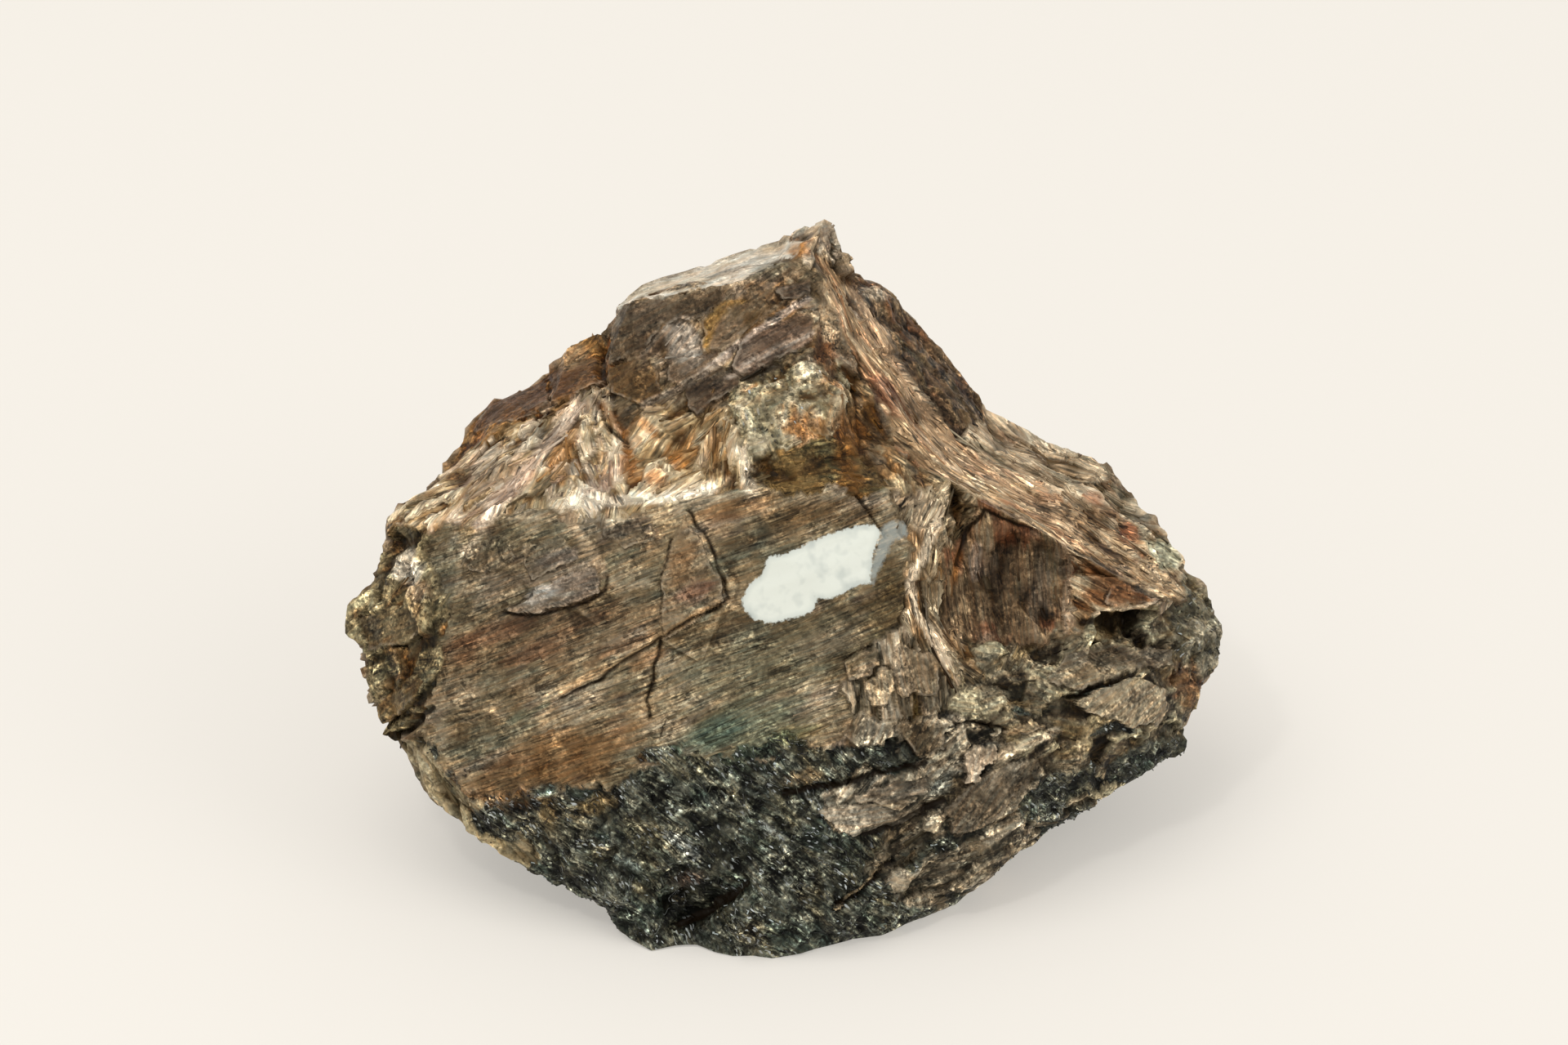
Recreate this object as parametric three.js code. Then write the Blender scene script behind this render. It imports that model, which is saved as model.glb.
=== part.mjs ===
// Mineral hand specimen: one broken block of fibrous brown amphibole grown on a dark granular base.
// Units are millimetres and +Z is up. The origin lies under the middle of the stone's box, on the
// surface that the stone rests on.
import * as THREE from "three";
import { ConvexHull } from "three/addons/math/ConvexHull.js";
import { ImprovedNoise } from "three/addons/math/ImprovedNoise.js";

// Driving dimensions
const SIGHT_FALL = 32; // degrees by which the survey's line of sight falls below the horizon
const FLOOR = 9.7; // height of the resting surface in the survey's own frame
const HEART = [0, 44, -18]; // sight point inside the stone that sees its whole surface
const EDGE_ROUGH = 3.8; // longest triangle edge on broken ground
const EDGE_CALM = 6.5; // longest triangle edge on the flat cleavage face

// Relief that the fracture leaves between the surveyed points
const LUMP_SIZE = 8; // spacing of the lumps
const LUMP_HEIGHT = 1.3;
const GRAIN_SHARE = 0.3; // height of the lumps of half that size, as a share of LUMP_HEIGHT
const LEDGE_PITCH = 9; // spacing of the cleavage ledges on the far side
const LEDGE_HEIGHT = 2.2;
const LEDGE_DROP = 0.3; // share of the pitch over which a ledge breaks off
const LEDGE_RISE = 24; // degrees by which the ledges climb
const LEDGE_WAVER = 4; // how far a ledge strays from its line
const LEDGE_DEPTH = [12, 24]; // the ledges grow in over these depths behind the sight plane
const CALM_HEIGHT = 0.25; // height of the lumps on the flat cleavage face
const CALM_FACE = { left: -42, right: 17, low: 21, high: 58, near: 19 }; // sight limits of that face
const CALM_FADE = 5; // width of the strip over which the face turns into broken ground
const OUTLINE_RELIEF = 0.2; // share of the relief that is left along the surveyed outline

// Survey of the side that faces the viewer, as [right, up, near]: right and up lie in the plane across
// the line of sight, and near is towards the viewer.
// The outline runs clockwise from the peak.
const OUTLINE = [
  [4.9, 90, 6], [6.2, 89.5, 4], [6.5, 87.4, 2], [6.3, 85.7, 0], [8.1, 83.6, -3], [12.3, 82.2, -6],
  [14, 80.4, -7], [17.6, 76.2, -8], [21.4, 72, -9], [24.2, 68.9, -10], [25, 67.1, -10], [28.8, 65, -12],
  [31.9, 63.1, -13], [37.2, 61.5, -12], [39.7, 60.1, -9], [39.7, 57.6, -8], [43.9, 55.2, -9],
  [47, 52.4, -9], [49.8, 47.8, -8], [50.5, 45.4, -6], [53, 43.6, -6], [53.8, 40.1, -4], [53.3, 35.9, -2],
  [51.2, 32.4, 0], [49.1, 27.8, 1], [48.4, 25.7, 1], [44.2, 22.2, 3], [38.6, 19, 6], [35.1, 17.6, 8],
  [31.2, 16.6, 10], [29.8, 14.1, 12], [25.3, 9.9, 14], [19.7, 6.4, 15], [12.6, 3.6, 16], [5.6, 1.9, 17],
  [-1.4, 0.2, 18], [-6.3, 0.2, 18], [-10.5, 1.9, 16], [-13, 2.9, 12], [-16.1, 1.5, 16.5],
  [-20.3, 3.3, 15], [-22.1, 6.1, 14], [-27.3, 8.5, 14], [-33.7, 12, 14], [-39.3, 15.5, 14],
  [-43.5, 19.7, 12], [-46.3, 24.7, 11], [-46.6, 27.1, 10], [-49.1, 27.8, 10], [-49.8, 30.3, 10],
  [-51.5, 33.8, 10], [-52.6, 38, 9], [-53.3, 40.1, 8], [-52.2, 43.6, 8], [-49.4, 46.4, 9],
  [-49.1, 51.3, 12], [-48.7, 53.8, 12], [-43.5, 57.3, 8], [-41, 60.4, 3], [-37.9, 65.7, 0],
  [-35.8, 67.8, -1], [-30.1, 70.3, 0], [-27.7, 72.4, 0], [-26.6, 74.8, 1], [-23.1, 75.9, 2],
  [-21, 77.3, 6], [-20.7, 79.4, 9], [-17.5, 82.2, 5], [-11.9, 83.9, 2], [-6.3, 86, 0],
  [-0.7, 87.8, 1], [2.1, 89.2, 4],
];
const UPPER_BLOCK = [
  // front edge of the sloping top face
  [-18.5, 80.2, 14], [-11.8, 81.5, 15], [-6.7, 82.3, 14.5], [-1.1, 84.4, 13], [3.1, 86.7, 11],
  // the cleavage step across the block, its upper and lower lips
  [-21.4, 73, 13], [-17.8, 73, 15.5], [-10, 75.8, 16], [-3, 78.6, 15.5], [3.6, 81.2, 12.5],
  [-17.4, 71.6, 17.5], [-9.6, 74.2, 18.2], [-2.6, 77, 17.6], [4, 79.4, 14.6],
  // foot of the block
  [-21, 70, 15], [-17.4, 67, 18.5], [-10.4, 65.9, 20], [-8, 67.6, 20], [-5, 70.2, 20],
  [0, 73.2, 19], [4.4, 75, 17],
];
const LEFT_WING = [
  // foot of the thin slab behind the shelf
  [-39.5, 60, 9], [-36, 64, 8], [-32, 66.4, 9], [-28, 68, 10], [-22.6, 70, 11],
];
const SHELF = [
  // fans of blades that slope down to the front face
  [-44, 56.4, 14], [-39, 57.6, 16], [-34.6, 60, 17.5], [-30, 58.4, 22], [-27, 62.6, 17.6],
  [-22.8, 66.4, 15.4], [-22, 60, 22.6], [-19.6, 64.4, 18.6], [-15, 60, 23.6], [-13, 63.6, 21],
  [-8.6, 60.4, 24],
];
const GREEN_LUMP = [
  [-5.8, 67.2, 23], [-2, 70.4, 22.6], [2.6, 72, 21], [7, 69.4, 21.4], [7.4, 65.6, 22.4],
  [5.6, 63.6, 25], [-0.2, 63.4, 26.4], [-5.6, 62.8, 26], [-2.4, 59.8, 25.4], [4.6, 60.2, 24.6],
];
const NOTCH_BESIDE_LUMP = [
  [6.4, 74.4, 15.4], [8.6, 69.4, 14.6], [9.4, 64, 17], [9.2, 61.2, 21.4],
];
const FRONT_FACE = [
  // top edge, from the left
  [-48, 52.4, 14.6], [-43, 53.4, 19.4], [-36, 53.8, 24], [-30, 53.6, 27], [-24, 53, 28.6], [-17, 54, 29],
  [-11, 56, 28.6], [-5, 57, 28.2], [2, 57.8, 27.6], [9, 58.2, 26], [14, 57, 24],
  // the face itself
  [-33, 47, 26.4], [-33, 38, 25.4], [-33, 28.6, 23.8], [-24, 49, 28.6], [-22, 40, 28], [-23, 33.4, 26.2],
  [-22, 25.6, 25.4], [-12, 45, 29], [-10, 36, 27.6], [-10, 27, 26.4], [2, 48, 28.4], [2, 38, 27.6],
  [2, 29, 26.6], [11, 50, 26.4], [11, 41, 26.6],
  // bottom edge against the dark base
  [-44.6, 23, 14.6], [-40, 21.8, 18.6], [-32, 20.8, 21.8], [-22, 21.2, 24], [-13, 21.6, 25],
  [-4, 23, 25.4], [5, 22.2, 25.4], [13, 23.6, 25],
];
const RAISED_PLATE = [
  // a plate that stands proud of the front face: its broken lower edge, then the face just below that
  [-27, 32.4, 26.6], [-18.9, 36.6, 27.9], [-15.1, 39, 28.3], [-7, 43.6, 29.1], [-6.3, 45.4, 29.3],
  [-9.1, 49.9, 29.4],
  [-26.6, 31.5, 25.6], [-18.4, 35.7, 26.8], [-14.6, 38.1, 27.2], [-6.2, 43.2, 28], [-5.3, 45.4, 28.1],
  [-8.2, 50.3, 28.4],
  // a small lens of the same plate at its left end
  [-30.8, 45.6, 27.6], [-26, 43.4, 28.6], [-21.8, 45.4, 28.8], [-30.8, 44.4, 26.4], [-26, 42.4, 27.4],
  [-21.4, 44.2, 28],
];
const LEFT_END = [
  [-47, 48.4, 12.6], [-44, 46, 19], [-40, 39.6, 23.2], [-41, 32.4, 22], [-45, 30.6, 17.4],
  [-48, 37, 14], [-50, 42, 12], [-47.6, 31.4, 12.6], [-45.4, 28.4, 13.4], [-42, 28, 18.6],
];
const PLUME = [
  // the fibrous band that sweeps down from the peak, along its upper edge and then along its lip
  [9.2, 81, 2.4], [12, 75.4, 3.6], [16, 69, 4.6], [20, 63.4, 5.6], [25, 59.4, 6], [32, 57.4, 3.6],
  [38.6, 55.4, -0.6], [44.4, 52, -3.6],
  [7, 78.4, 11.4], [9.6, 74, 11], [13, 68, 13.6], [16.6, 62.4, 16.4], [20.4, 58.4, 18.2], [24, 55.6, 18],
  [29.4, 53.2, 16.6], [34.6, 50.2, 14.6], [40.8, 46.4, 11], [47.6, 44, 6],
];
const BACK_RIDGE = [
  [26.6, 62.4, -2], [32.6, 60.2, -5], [36.6, 58, -3.4], [45.4, 48.4, -1],
];
const HOLLOW = [
  // the dark face under the lip
  [21, 54.4, 14.6], [26.6, 50.6, 12.6], [32.2, 47.6, 11.8], [23.6, 47.4, 13.4], [29.4, 44.6, 12.4],
  [22, 42.4, 16.6], [28, 41.2, 15.6], [33, 40.6, 14.6],
  // the wedge that juts out at its right
  [35.2, 46.6, 14.4], [35, 40.2, 14.6], [38.4, 42, 13.6], [43.6, 42.6, 10], [47.4, 43, 6.4],
  // the gap below the wedge
  [37, 39.6, 8.4], [41.4, 40.8, 6.4], [46.6, 41.6, 3.4],
];
const CREST = [
  // the fold that parts the front face from the right side
  [13.8, 53.6, 24.6], [16.6, 50.4, 23.2], [15.8, 46.4, 24], [16.4, 42, 24], [18.6, 38.4, 22.8],
  [22, 35.4, 21.4], [18.4, 46.6, 20.4], [18.2, 53.4, 19.6],
];
const COMB = [
  // upright fibres broken off in steps below the crest
  [8.6, 37.6, 27.6], [13.6, 37, 27], [9, 33, 26.6], [14.4, 32.4, 26.4], [18.6, 32.6, 24], [13.6, 29.4, 27],
  [19, 28.6, 25], [20.4, 24.4, 23],
];
const RIGHT_FLANK = [
  [30.6, 37.6, 15.6], [37, 36.6, 13.6], [43, 37.8, 9.4], [48.6, 38.4, 4],
  [34, 32.4, 17.4], [40, 33, 15.4], [45.4, 35.4, 10], [46, 31, 9.2], [48.8, 33.4, 3.4],
  [29, 31, 18.6], [26.4, 27.6, 21], [33, 26, 17.6], [39.4, 25.4, 13.4], [44.4, 27, 8.4],
  [26, 22, 20.4], [31.6, 21, 16],
];
const DARK_BASE = [
  [-36, 16.4, 18], [-28, 14.6, 20.6], [-20, 13, 22.4], [-12, 12, 22.6], [-4, 11.6, 23.4], [4, 12.6, 23.4],
  [7, 17.4, 25.4], [12, 14, 22.4], [16.4, 17.6, 22], [20.6, 13.6, 20], [26, 15.8, 18],
  [-20.4, 7.6, 19.6], [-15.6, 6.8, 19.4], [-12.4, 7.6, 17], [-8, 8.4, 20], [-5.6, 4.6, 21], [1, 4.8, 21.6],
  [8, 6, 21], [15, 9, 19.2], [21.6, 10.8, 17.4],
];

// Survey of the far side and the underside, as [x, back, height] above the resting surface.
const FAR_SIDE = [
  [-6, 46, 60], [3, 49, 62], [-17, 42, 53.4], [-27, 38.6, 46.6],
  [-33, 37, 40], [-20, 46.4, 48], [-7, 52, 55], [6, 54.4, 56], [14, 53, 49.6], [23.6, 50, 35.6],
  [-47, 24, 31], [-38, 34.6, 31], [-24, 48, 36], [-9, 57, 40], [5, 60, 41], [18, 56.6, 34],
  [33, 48, 27.6], [45, 36.6, 25],
  [-24.6, 45, 29], [-10, 53.6, 31], [4, 56.4, 32],
  [-46, 18, 17], [-37, 30.6, 15], [-23, 43.6, 16.6], [-7, 52.6, 18], [9, 55, 16.6], [23, 51, 14.6],
  [38, 41, 14], [48.4, 28.4, 16],
  [-33, 24, 6], [-20, 36, 6], [-4, 44, 6.6], [12, 46, 6], [26, 41, 5.4], [36, 28, 6], [37, 16, 6.6],
  [-34, 8, 7], [-27, 0, 3.6],
];
const UNDERSIDE = [
  [-22, 1.6, -2], [-15.4, -10, -2], [-5.4, -13, -2], [2, -12.8, -2], [11, -8.6, -2], [19.6, -2.4, -2],
  [26, 8.6, -2], [29.4, 20, -2], [24.4, 33, -2], [9, 39.4, -2], [-9, 37.6, -2], [-23, 27.6, -2],
  [-27.6, 13.6, -2], [0, 12, -3],
];

const FALL = THREE.MathUtils.degToRad(SIGHT_FALL);
const ACROSS_SIGHT = new THREE.Vector3(0, Math.sin(FALL), Math.cos(FALL));
const TO_VIEWER = new THREE.Vector3(0, -Math.cos(FALL), Math.sin(FALL));

function fromSight([right, up, near]) {
  return new THREE.Vector3(right, 0, 0).addScaledVector(ACROSS_SIGHT, up).addScaledVector(TO_VIEWER, near);
}

function fromFloor([x, back, height]) {
  return new THREE.Vector3(x, back, height + FLOOR);
}

// Joins the surveyed points into one closed surface: neighbours are those that the heart of the stone
// sees next to each other, which are the edges of the hull of their directions.
function joinPoints(points) {
  const heart = fromSight(HEART);
  const directions = points.map((point) => point.clone().sub(heart).normalize());
  const indexOf = new Map(directions.map((direction, index) => [direction, index]));
  const hull = new ConvexHull().setFromPoints(directions);
  return hull.faces.map(({ edge }) =>
    [edge.tail(), edge.head(), edge.next.head()].map((vertex) => indexOf.get(vertex.point)),
  );
}

const { smoothstep, lerp } = THREE.MathUtils;

// 1 on the flat cleavage face, falling to 0 on the broken ground around it.
function calmness(point) {
  const up = point.dot(ACROSS_SIGHT);
  const inward = [
    point.x - CALM_FACE.left,
    CALM_FACE.right - point.x,
    up - CALM_FACE.low,
    CALM_FACE.high - up,
    point.dot(TO_VIEWER) - CALM_FACE.near,
  ];
  return smoothstep(Math.min(...inward), 0, CALM_FADE);
}

// Splits every edge that is too long for its ground, until none is left.
function refine(points, faces) {
  let current = faces;
  for (;;) {
    const middles = new Map();
    const middleOf = (a, b) => {
      const key = a < b ? `${a} ${b}` : `${b} ${a}`;
      if (!middles.has(key)) {
        const middle = points[a].clone().add(points[b]).multiplyScalar(0.5);
        const longest = lerp(EDGE_ROUGH, EDGE_CALM, calmness(middle));
        const split = points[a].distanceTo(points[b]) > longest;
        middles.set(key, split ? points.push(middle) - 1 : -1);
      }
      return middles.get(key);
    };
    const next = current.flatMap((face) => {
      const [a, b, c] = face;
      return splitFace(face, [middleOf(a, b), middleOf(b, c), middleOf(c, a)]);
    });
    if (next.length === current.length) return next;
    current = next;
  }
}

// Cuts one triangle at the middles of its split edges; middles[i] lies after corner i, or is -1.
function splitFace(corners, middles) {
  const cut = middles.filter((middle) => middle >= 0).length;
  if (cut === 0) return [corners];
  const first = cut === 1 ? middles.findIndex((m) => m >= 0) : cut === 2 ? (middles.indexOf(-1) + 1) % 3 : 0;
  const [a, b, c] = [0, 1, 2].map((i) => corners[(first + i) % 3]);
  const [ab, bc, ca] = [0, 1, 2].map((i) => middles[(first + i) % 3]);
  if (cut === 1) return [[a, ab, c], [ab, b, c]];
  if (cut === 2) return [[ab, b, bc], [a, ab, bc], [a, bc, c]];
  return [[a, ab, ca], [ab, b, bc], [ca, bc, c], [ab, bc, ca]];
}

const perlin = new ImprovedNoise();
function noise(point, size) {
  return perlin.noise(point.x / size, point.y / size, point.z / size);
}

// How far the fracture stands out from the surveyed surface: lumps all over, and ledges on the far side.
function relief(point) {
  const lumps = noise(point, LUMP_SIZE) + GRAIN_SHARE * noise(point, LUMP_SIZE / 2);
  const rise = THREE.MathUtils.degToRad(LEDGE_RISE);
  const waver = LEDGE_WAVER * noise(point, 2 * LUMP_SIZE);
  const across = point.z * Math.cos(rise) - point.x * Math.sin(rise) + waver;
  const phase = THREE.MathUtils.euclideanModulo(across / LEDGE_PITCH, 1);
  const ledge = Math.min(phase / (1 - LEDGE_DROP), (1 - phase) / LEDGE_DROP) - 0.5;
  const behind = smoothstep(-point.dot(TO_VIEWER), ...LEDGE_DEPTH);
  const broken = LUMP_HEIGHT * lumps + LEDGE_HEIGHT * ledge * behind;
  return lerp(broken, CALM_HEIGHT * lumps, calmness(point));
}

function geometryOf(points, faces) {
  const geometry = new THREE.BufferGeometry().setFromPoints(points);
  geometry.setIndex(faces.flat());
  geometry.computeVertexNormals();
  return geometry;
}

// The whole stone: surveyed, refined, roughened, and worn flat where it rests.
function makeStone() {
  const seen = [
    OUTLINE, UPPER_BLOCK, LEFT_WING, SHELF, GREEN_LUMP, NOTCH_BESIDE_LUMP, FRONT_FACE, RAISED_PLATE, LEFT_END,
    PLUME, BACK_RIDGE, HOLLOW, CREST, COMB, RIGHT_FLANK, DARK_BASE,
  ].flat();
  const points = [...seen.map(fromSight), ...[FAR_SIDE, UNDERSIDE].flat().map(fromFloor)];
  const faces = refine(points, joinPoints(points));
  const normals = geometryOf(points, faces).getAttribute("normal");
  const rough = points.map((point, i) => {
    const normal = new THREE.Vector3().fromBufferAttribute(normals, i);
    const share = lerp(OUTLINE_RELIEF, 1, smoothstep(Math.abs(normal.dot(TO_VIEWER)), 0.1, 0.5));
    const moved = point.clone().addScaledVector(normal, relief(point) * share);
    moved.z = Math.max(moved.z, FLOOR);
    return moved;
  });
  const geometry = geometryOf(rough, faces);
  geometry.computeBoundingBox();
  const middle = geometry.boundingBox.getCenter(new THREE.Vector3());
  return geometry.translate(-middle.x, -middle.y, -FLOOR);
}

const stone = new THREE.Mesh(
  makeStone(),
  new THREE.MeshStandardMaterial({ color: 0x6f5d49, roughness: 0.6, metalness: 0 }),
);
stone.name = "stone";

const specimen = new THREE.Group();
specimen.add(stone);

export default specimen;
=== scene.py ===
"""Looks of a mineral hand specimen: fibrous brown amphibole on a dark, sparkling, granular base.

Places on the stone are given as the viewer sees it, in millimetres: right, up, and near.
"""

import math
from dataclasses import dataclass
from itertools import product

import bpy
import numpy as np
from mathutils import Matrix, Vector
from mathutils.bvhtree import BVHTree


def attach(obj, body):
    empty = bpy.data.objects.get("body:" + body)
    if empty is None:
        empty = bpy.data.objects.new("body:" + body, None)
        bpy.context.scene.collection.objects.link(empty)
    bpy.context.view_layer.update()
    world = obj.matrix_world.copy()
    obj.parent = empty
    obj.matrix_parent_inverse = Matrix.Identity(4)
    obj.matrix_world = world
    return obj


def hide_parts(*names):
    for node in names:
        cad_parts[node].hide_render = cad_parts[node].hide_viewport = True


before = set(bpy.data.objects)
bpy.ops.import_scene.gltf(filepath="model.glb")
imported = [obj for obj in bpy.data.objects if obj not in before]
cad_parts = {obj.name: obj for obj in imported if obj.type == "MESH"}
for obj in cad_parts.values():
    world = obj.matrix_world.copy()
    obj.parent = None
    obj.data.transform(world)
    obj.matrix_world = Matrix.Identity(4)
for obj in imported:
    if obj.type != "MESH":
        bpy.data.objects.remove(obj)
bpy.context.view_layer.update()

MM = 0.001

# The line of sight that the stone was surveyed along, and where its frame lies in the part's frame
SIGHT_FALL = math.radians(32)
SIGHT_ORIGIN = np.array([0.2547, 21.7588, 9.7])
ACROSS_SIGHT = np.array([0.0, math.sin(SIGHT_FALL), math.cos(SIGHT_FALL)])
TO_VIEWER = np.array([0.0, -math.cos(SIGHT_FALL), math.sin(SIGHT_FALL)])
TO_RIGHT = np.array([1.0, 0.0, 0.0])

# Longest triangle edges beside plates and cracks, on the rest of the side that is seen, and on the far side
EDGE_FINE = 0.42
EDGE_SEEN = 0.70
EDGE_FAR = 1.25

# How far from a drawn outline or line its distance is still measured
REACH = 1.5

# How far a loose lath or grain may stand out of the stone
HIGHEST_LATH = 0.35

# How much of the depth into the stone counts among fibres: they lie in sheets along the line of sight
SHEET = 0.15

# How far a point of a tumbled bundle moves at most to make the bundle's face flat
FLATTENED = 1.5

# A swing, in radians, above which each bundle's fibres are straight
STRAIGHT_FROM = 0.2

# The side that the outlines are drawn on: how far its normals turn to the viewer at least, as a cosine,
# and how near its points lie
FACING_FROM = -0.12
NEAR_FROM = -20.0

# Share of grain from which a ground's tone is that of its grains, and the shares where its painted glints
# start and where they are full
GRANULAR_FROM = 0.45
PAINTED_GLINT_SHARES = (0.25, 0.7)

# Height of the dark foot on the far side, and the reach of the dark base in front, up and to each side
FOOT_HEIGHT = 11.0
BASE_UP = 26.0
BASE_ASIDE = 40.0

# Passes of smoothing in the hollow, for the depth of pits, and behind the pale top
HOLLOW_PASSES = 12
PIT_PASSES = 10
BORDER_PASSES = 2

# Faces of the stone that meet at more than this stay sharp
SHARP_FROM = math.radians(35)

# How the grains of the base lie
GRAIN_LIE = math.radians(-38)

# Corners and triangles of one loose lath
LATH_CORNERS = 8
LATH_TRIANGLES = 12


# Steady random numbers and noise

def scatter(*whole, seed=0):
    """A steady random number from 0 to 1 for each set of whole numbers."""
    mixed = np.full(np.shape(whole[0]), (seed * 2654435761 + 97) % 2**32, np.uint32)
    for number in whole:
        mixed ^= np.asarray(number, np.int64).astype(np.uint32)
        mixed *= np.uint32(0x85EBCA6B)
        mixed ^= mixed >> np.uint32(13)
        mixed *= np.uint32(0xC2B2AE35)
        mixed ^= mixed >> np.uint32(16)
    return mixed / 2.0**32


def noise(places, size, seed=0):
    """Smooth noise from -1 to 1 with lumps of that size, one size for all axes or one for each."""
    scaled = places / np.asarray(size, float)
    cell = np.floor(scaled)
    share = scaled - cell
    share = share * share * (3 - 2 * share)
    total = np.zeros(len(places))
    for corner in product((0, 1), repeat=3):
        weight = np.prod(np.where(corner, share, 1 - share), axis=1)
        total += weight * scatter(*(cell + corner).T, seed=seed)
    return 2 * total - 1


def cloudy(places, size, seed=0):
    """Three layers of noise, each half the size and half the height of the one before."""
    return sum(noise(places, np.asarray(size) / 2**k, seed + k) / 2**k for k in range(3)) / 1.5


def grain_facets(places, size, seed=0):
    """Height of a heap of flat-faced grains, a random number for each grain, and its middle."""
    scaled = places / size
    cell = np.floor(scaled)
    nearest = np.full(len(places), np.inf)
    height = np.zeros(len(places))
    number = np.zeros(len(places))
    middle = np.zeros_like(scaled)
    for step in product((-1, 0, 1), repeat=3):
        home = cell + step
        jitter = np.stack([scatter(*home.T, seed=seed + k) for k in range(3)], 1)
        offset = scaled - home - jitter
        distance = (offset**2).sum(1)
        tilt = np.stack([scatter(*home.T, seed=seed + 3 + k) for k in range(3)], 1) - 0.5
        closer = distance < nearest
        nearest = np.where(closer, distance, nearest)
        own = scatter(*home.T, seed=seed + 6)
        height = np.where(closer, own - 0.5 + (offset * tilt).sum(1), height)
        number = np.where(closer, own, number)
        middle = np.where(closer[:, None], home + jitter, middle)
    return height, number, middle * size


def splinters(along, across, width, length, seed=0):
    """Height from 0 to 1 of blades that lie side by side, each broken off at places of its own."""
    lane = np.floor(across / width)
    span = length * (0.6 + 0.8 * scatter(lane, seed=seed))
    place = along / span + 7 * scatter(lane, seed=seed + 1)
    piece = np.floor(place)
    arch = 1 - (2 * (across / width - lane) - 1) ** 2
    return 0.62 * scatter(lane, piece, seed=seed + 2) + 0.22 * arch + 0.16 * (place - piece)


def smooth_step(low, high, value):
    share = np.clip((value - low) / (high - low), 0, 1)
    return share * share * (3 - 2 * share)


# Outlines, lines and ellipses drawn on the stone as the viewer sees it

def segment_distance(places, start, end):
    start, end = np.asarray(start, float), np.asarray(end, float)
    run = end - start
    share = np.clip((places - start) @ run / (run @ run), 0, 1)
    return np.linalg.norm(places - start - share[:, None] * run, axis=1)


def line_distance(places, line, reach=REACH):
    """Distance of each place from a line through the given points, up to reach."""
    corners = np.array(line)
    near = ((places > corners.min(0) - reach) & (places < corners.max(0) + reach)).all(1)
    distance = np.full(len(places), reach)
    for start, end in zip(line, line[1:]):
        distance[near] = np.minimum(distance[near], segment_distance(places[near], start, end))
    return distance


def inside_outline(places, outline):
    inside = np.zeros(len(places), bool)
    for (ax, ay), (bx, by) in zip(outline, outline[1:] + outline[:1]):
        if ay == by:
            continue
        crosses = (ay > places[:, 1]) != (by > places[:, 1])
        at = ax + (places[:, 1] - ay) * (bx - ax) / (by - ay)
        inside ^= crosses & (places[:, 0] < at)
    return inside


def depth_inside(places, outline):
    """Distance from the outline, positive inside it, up to REACH either way."""
    distance = line_distance(places, outline + outline[:1])
    return np.where(inside_outline(places, outline), distance, -distance)


def ellipse_distance(places, right, up, half_along, half_across, degrees):
    """0 at the middle of an ellipse, 1 on it."""
    angle = math.radians(degrees)
    offset = places - (right, up)
    major = offset @ (math.cos(angle), math.sin(angle)) / half_along
    minor = offset @ (-math.sin(angle), math.cos(angle)) / half_across
    return np.hypot(major, minor)


# How fibres lie: each kind gives places along and across the fibres, and the fibres' direction at such places

class Straight:
    def __init__(self, degrees):
        self.angle = math.radians(degrees)

    def places(self, right, up):
        return turned(right, up, self.angle)

    def direction(self, along, across):
        return np.full(len(along), self.angle)


class Fan:
    """Fibres that spread from a centre."""
    def __init__(self, centre_right, centre_up, mean_radius=16.0):
        self.centre = centre_right, centre_up
        self.mean_radius = mean_radius

    def places(self, right, up):
        right, up = right - self.centre[0], up - self.centre[1]
        return np.hypot(right, up), np.arctan2(up, right) * self.mean_radius

    def direction(self, along, across):
        return across / self.mean_radius


class Sweep(Fan):
    """Fibres that follow circles about a centre."""
    def places(self, right, up):
        radius, arc = super().places(right, up)
        return arc, radius

    def direction(self, along, across):
        return along / self.mean_radius + math.pi / 2


def turned(right, up, angle):
    """Places along and across a direction."""
    return right * np.cos(angle) + up * np.sin(angle), up * np.cos(angle) - right * np.sin(angle)


@dataclass
class Ground:
    """One kind of ground on the stone: its outline, how its fibres lie, its relief and its colours."""
    outline: list
    lie: object
    blade: tuple  # width, length and height of its blades
    colours: tuple  # from dark to pale: pits take the dark end as painted shade, ridges the pale end, partly wear and partly painted highlight
    tints: tuple = ()  # colours of stray bands
    lumps: float = 0.3
    grain: float = 0.0
    contrast: float = 0.7  # spread of its fine streaks or specks between dark and pale
    silk: float = 0.5  # 1 for long silky streaks, 0 for specks
    bundle: tuple = (7.0, 2.8, 0.3)  # length and width of its bundles of fibres, and how far they swing
    steps: float = 0.0  # height of the bundles' facets
    laths: tuple = (0.0, 3.0, 0.4)  # loose blades for each square millimetre, their length and width
    short: float = 2.0  # how much shorter its streaks are than the longest ones
    fine: float = 1.0  # how much thinner they are
    tumbled: bool = False  # bundles lie every way, not only across the line of sight
    smooth: bool = False


@dataclass
class Plate:
    """A flat piece that stands out from the ground around it."""
    outline: list
    rise: float
    degrees: float  # how its fibres lie
    colour: str
    contrast: float = 1.1
    cover: float = 0.55  # how far its colour hides the ground's
    grain: float = 0.0
    silk: float = 0.3
    short: float = 2.2
    fine: float = 1.3
    smooth: bool = True


PLUME_LIE = Sweep(54, 102)

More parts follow.
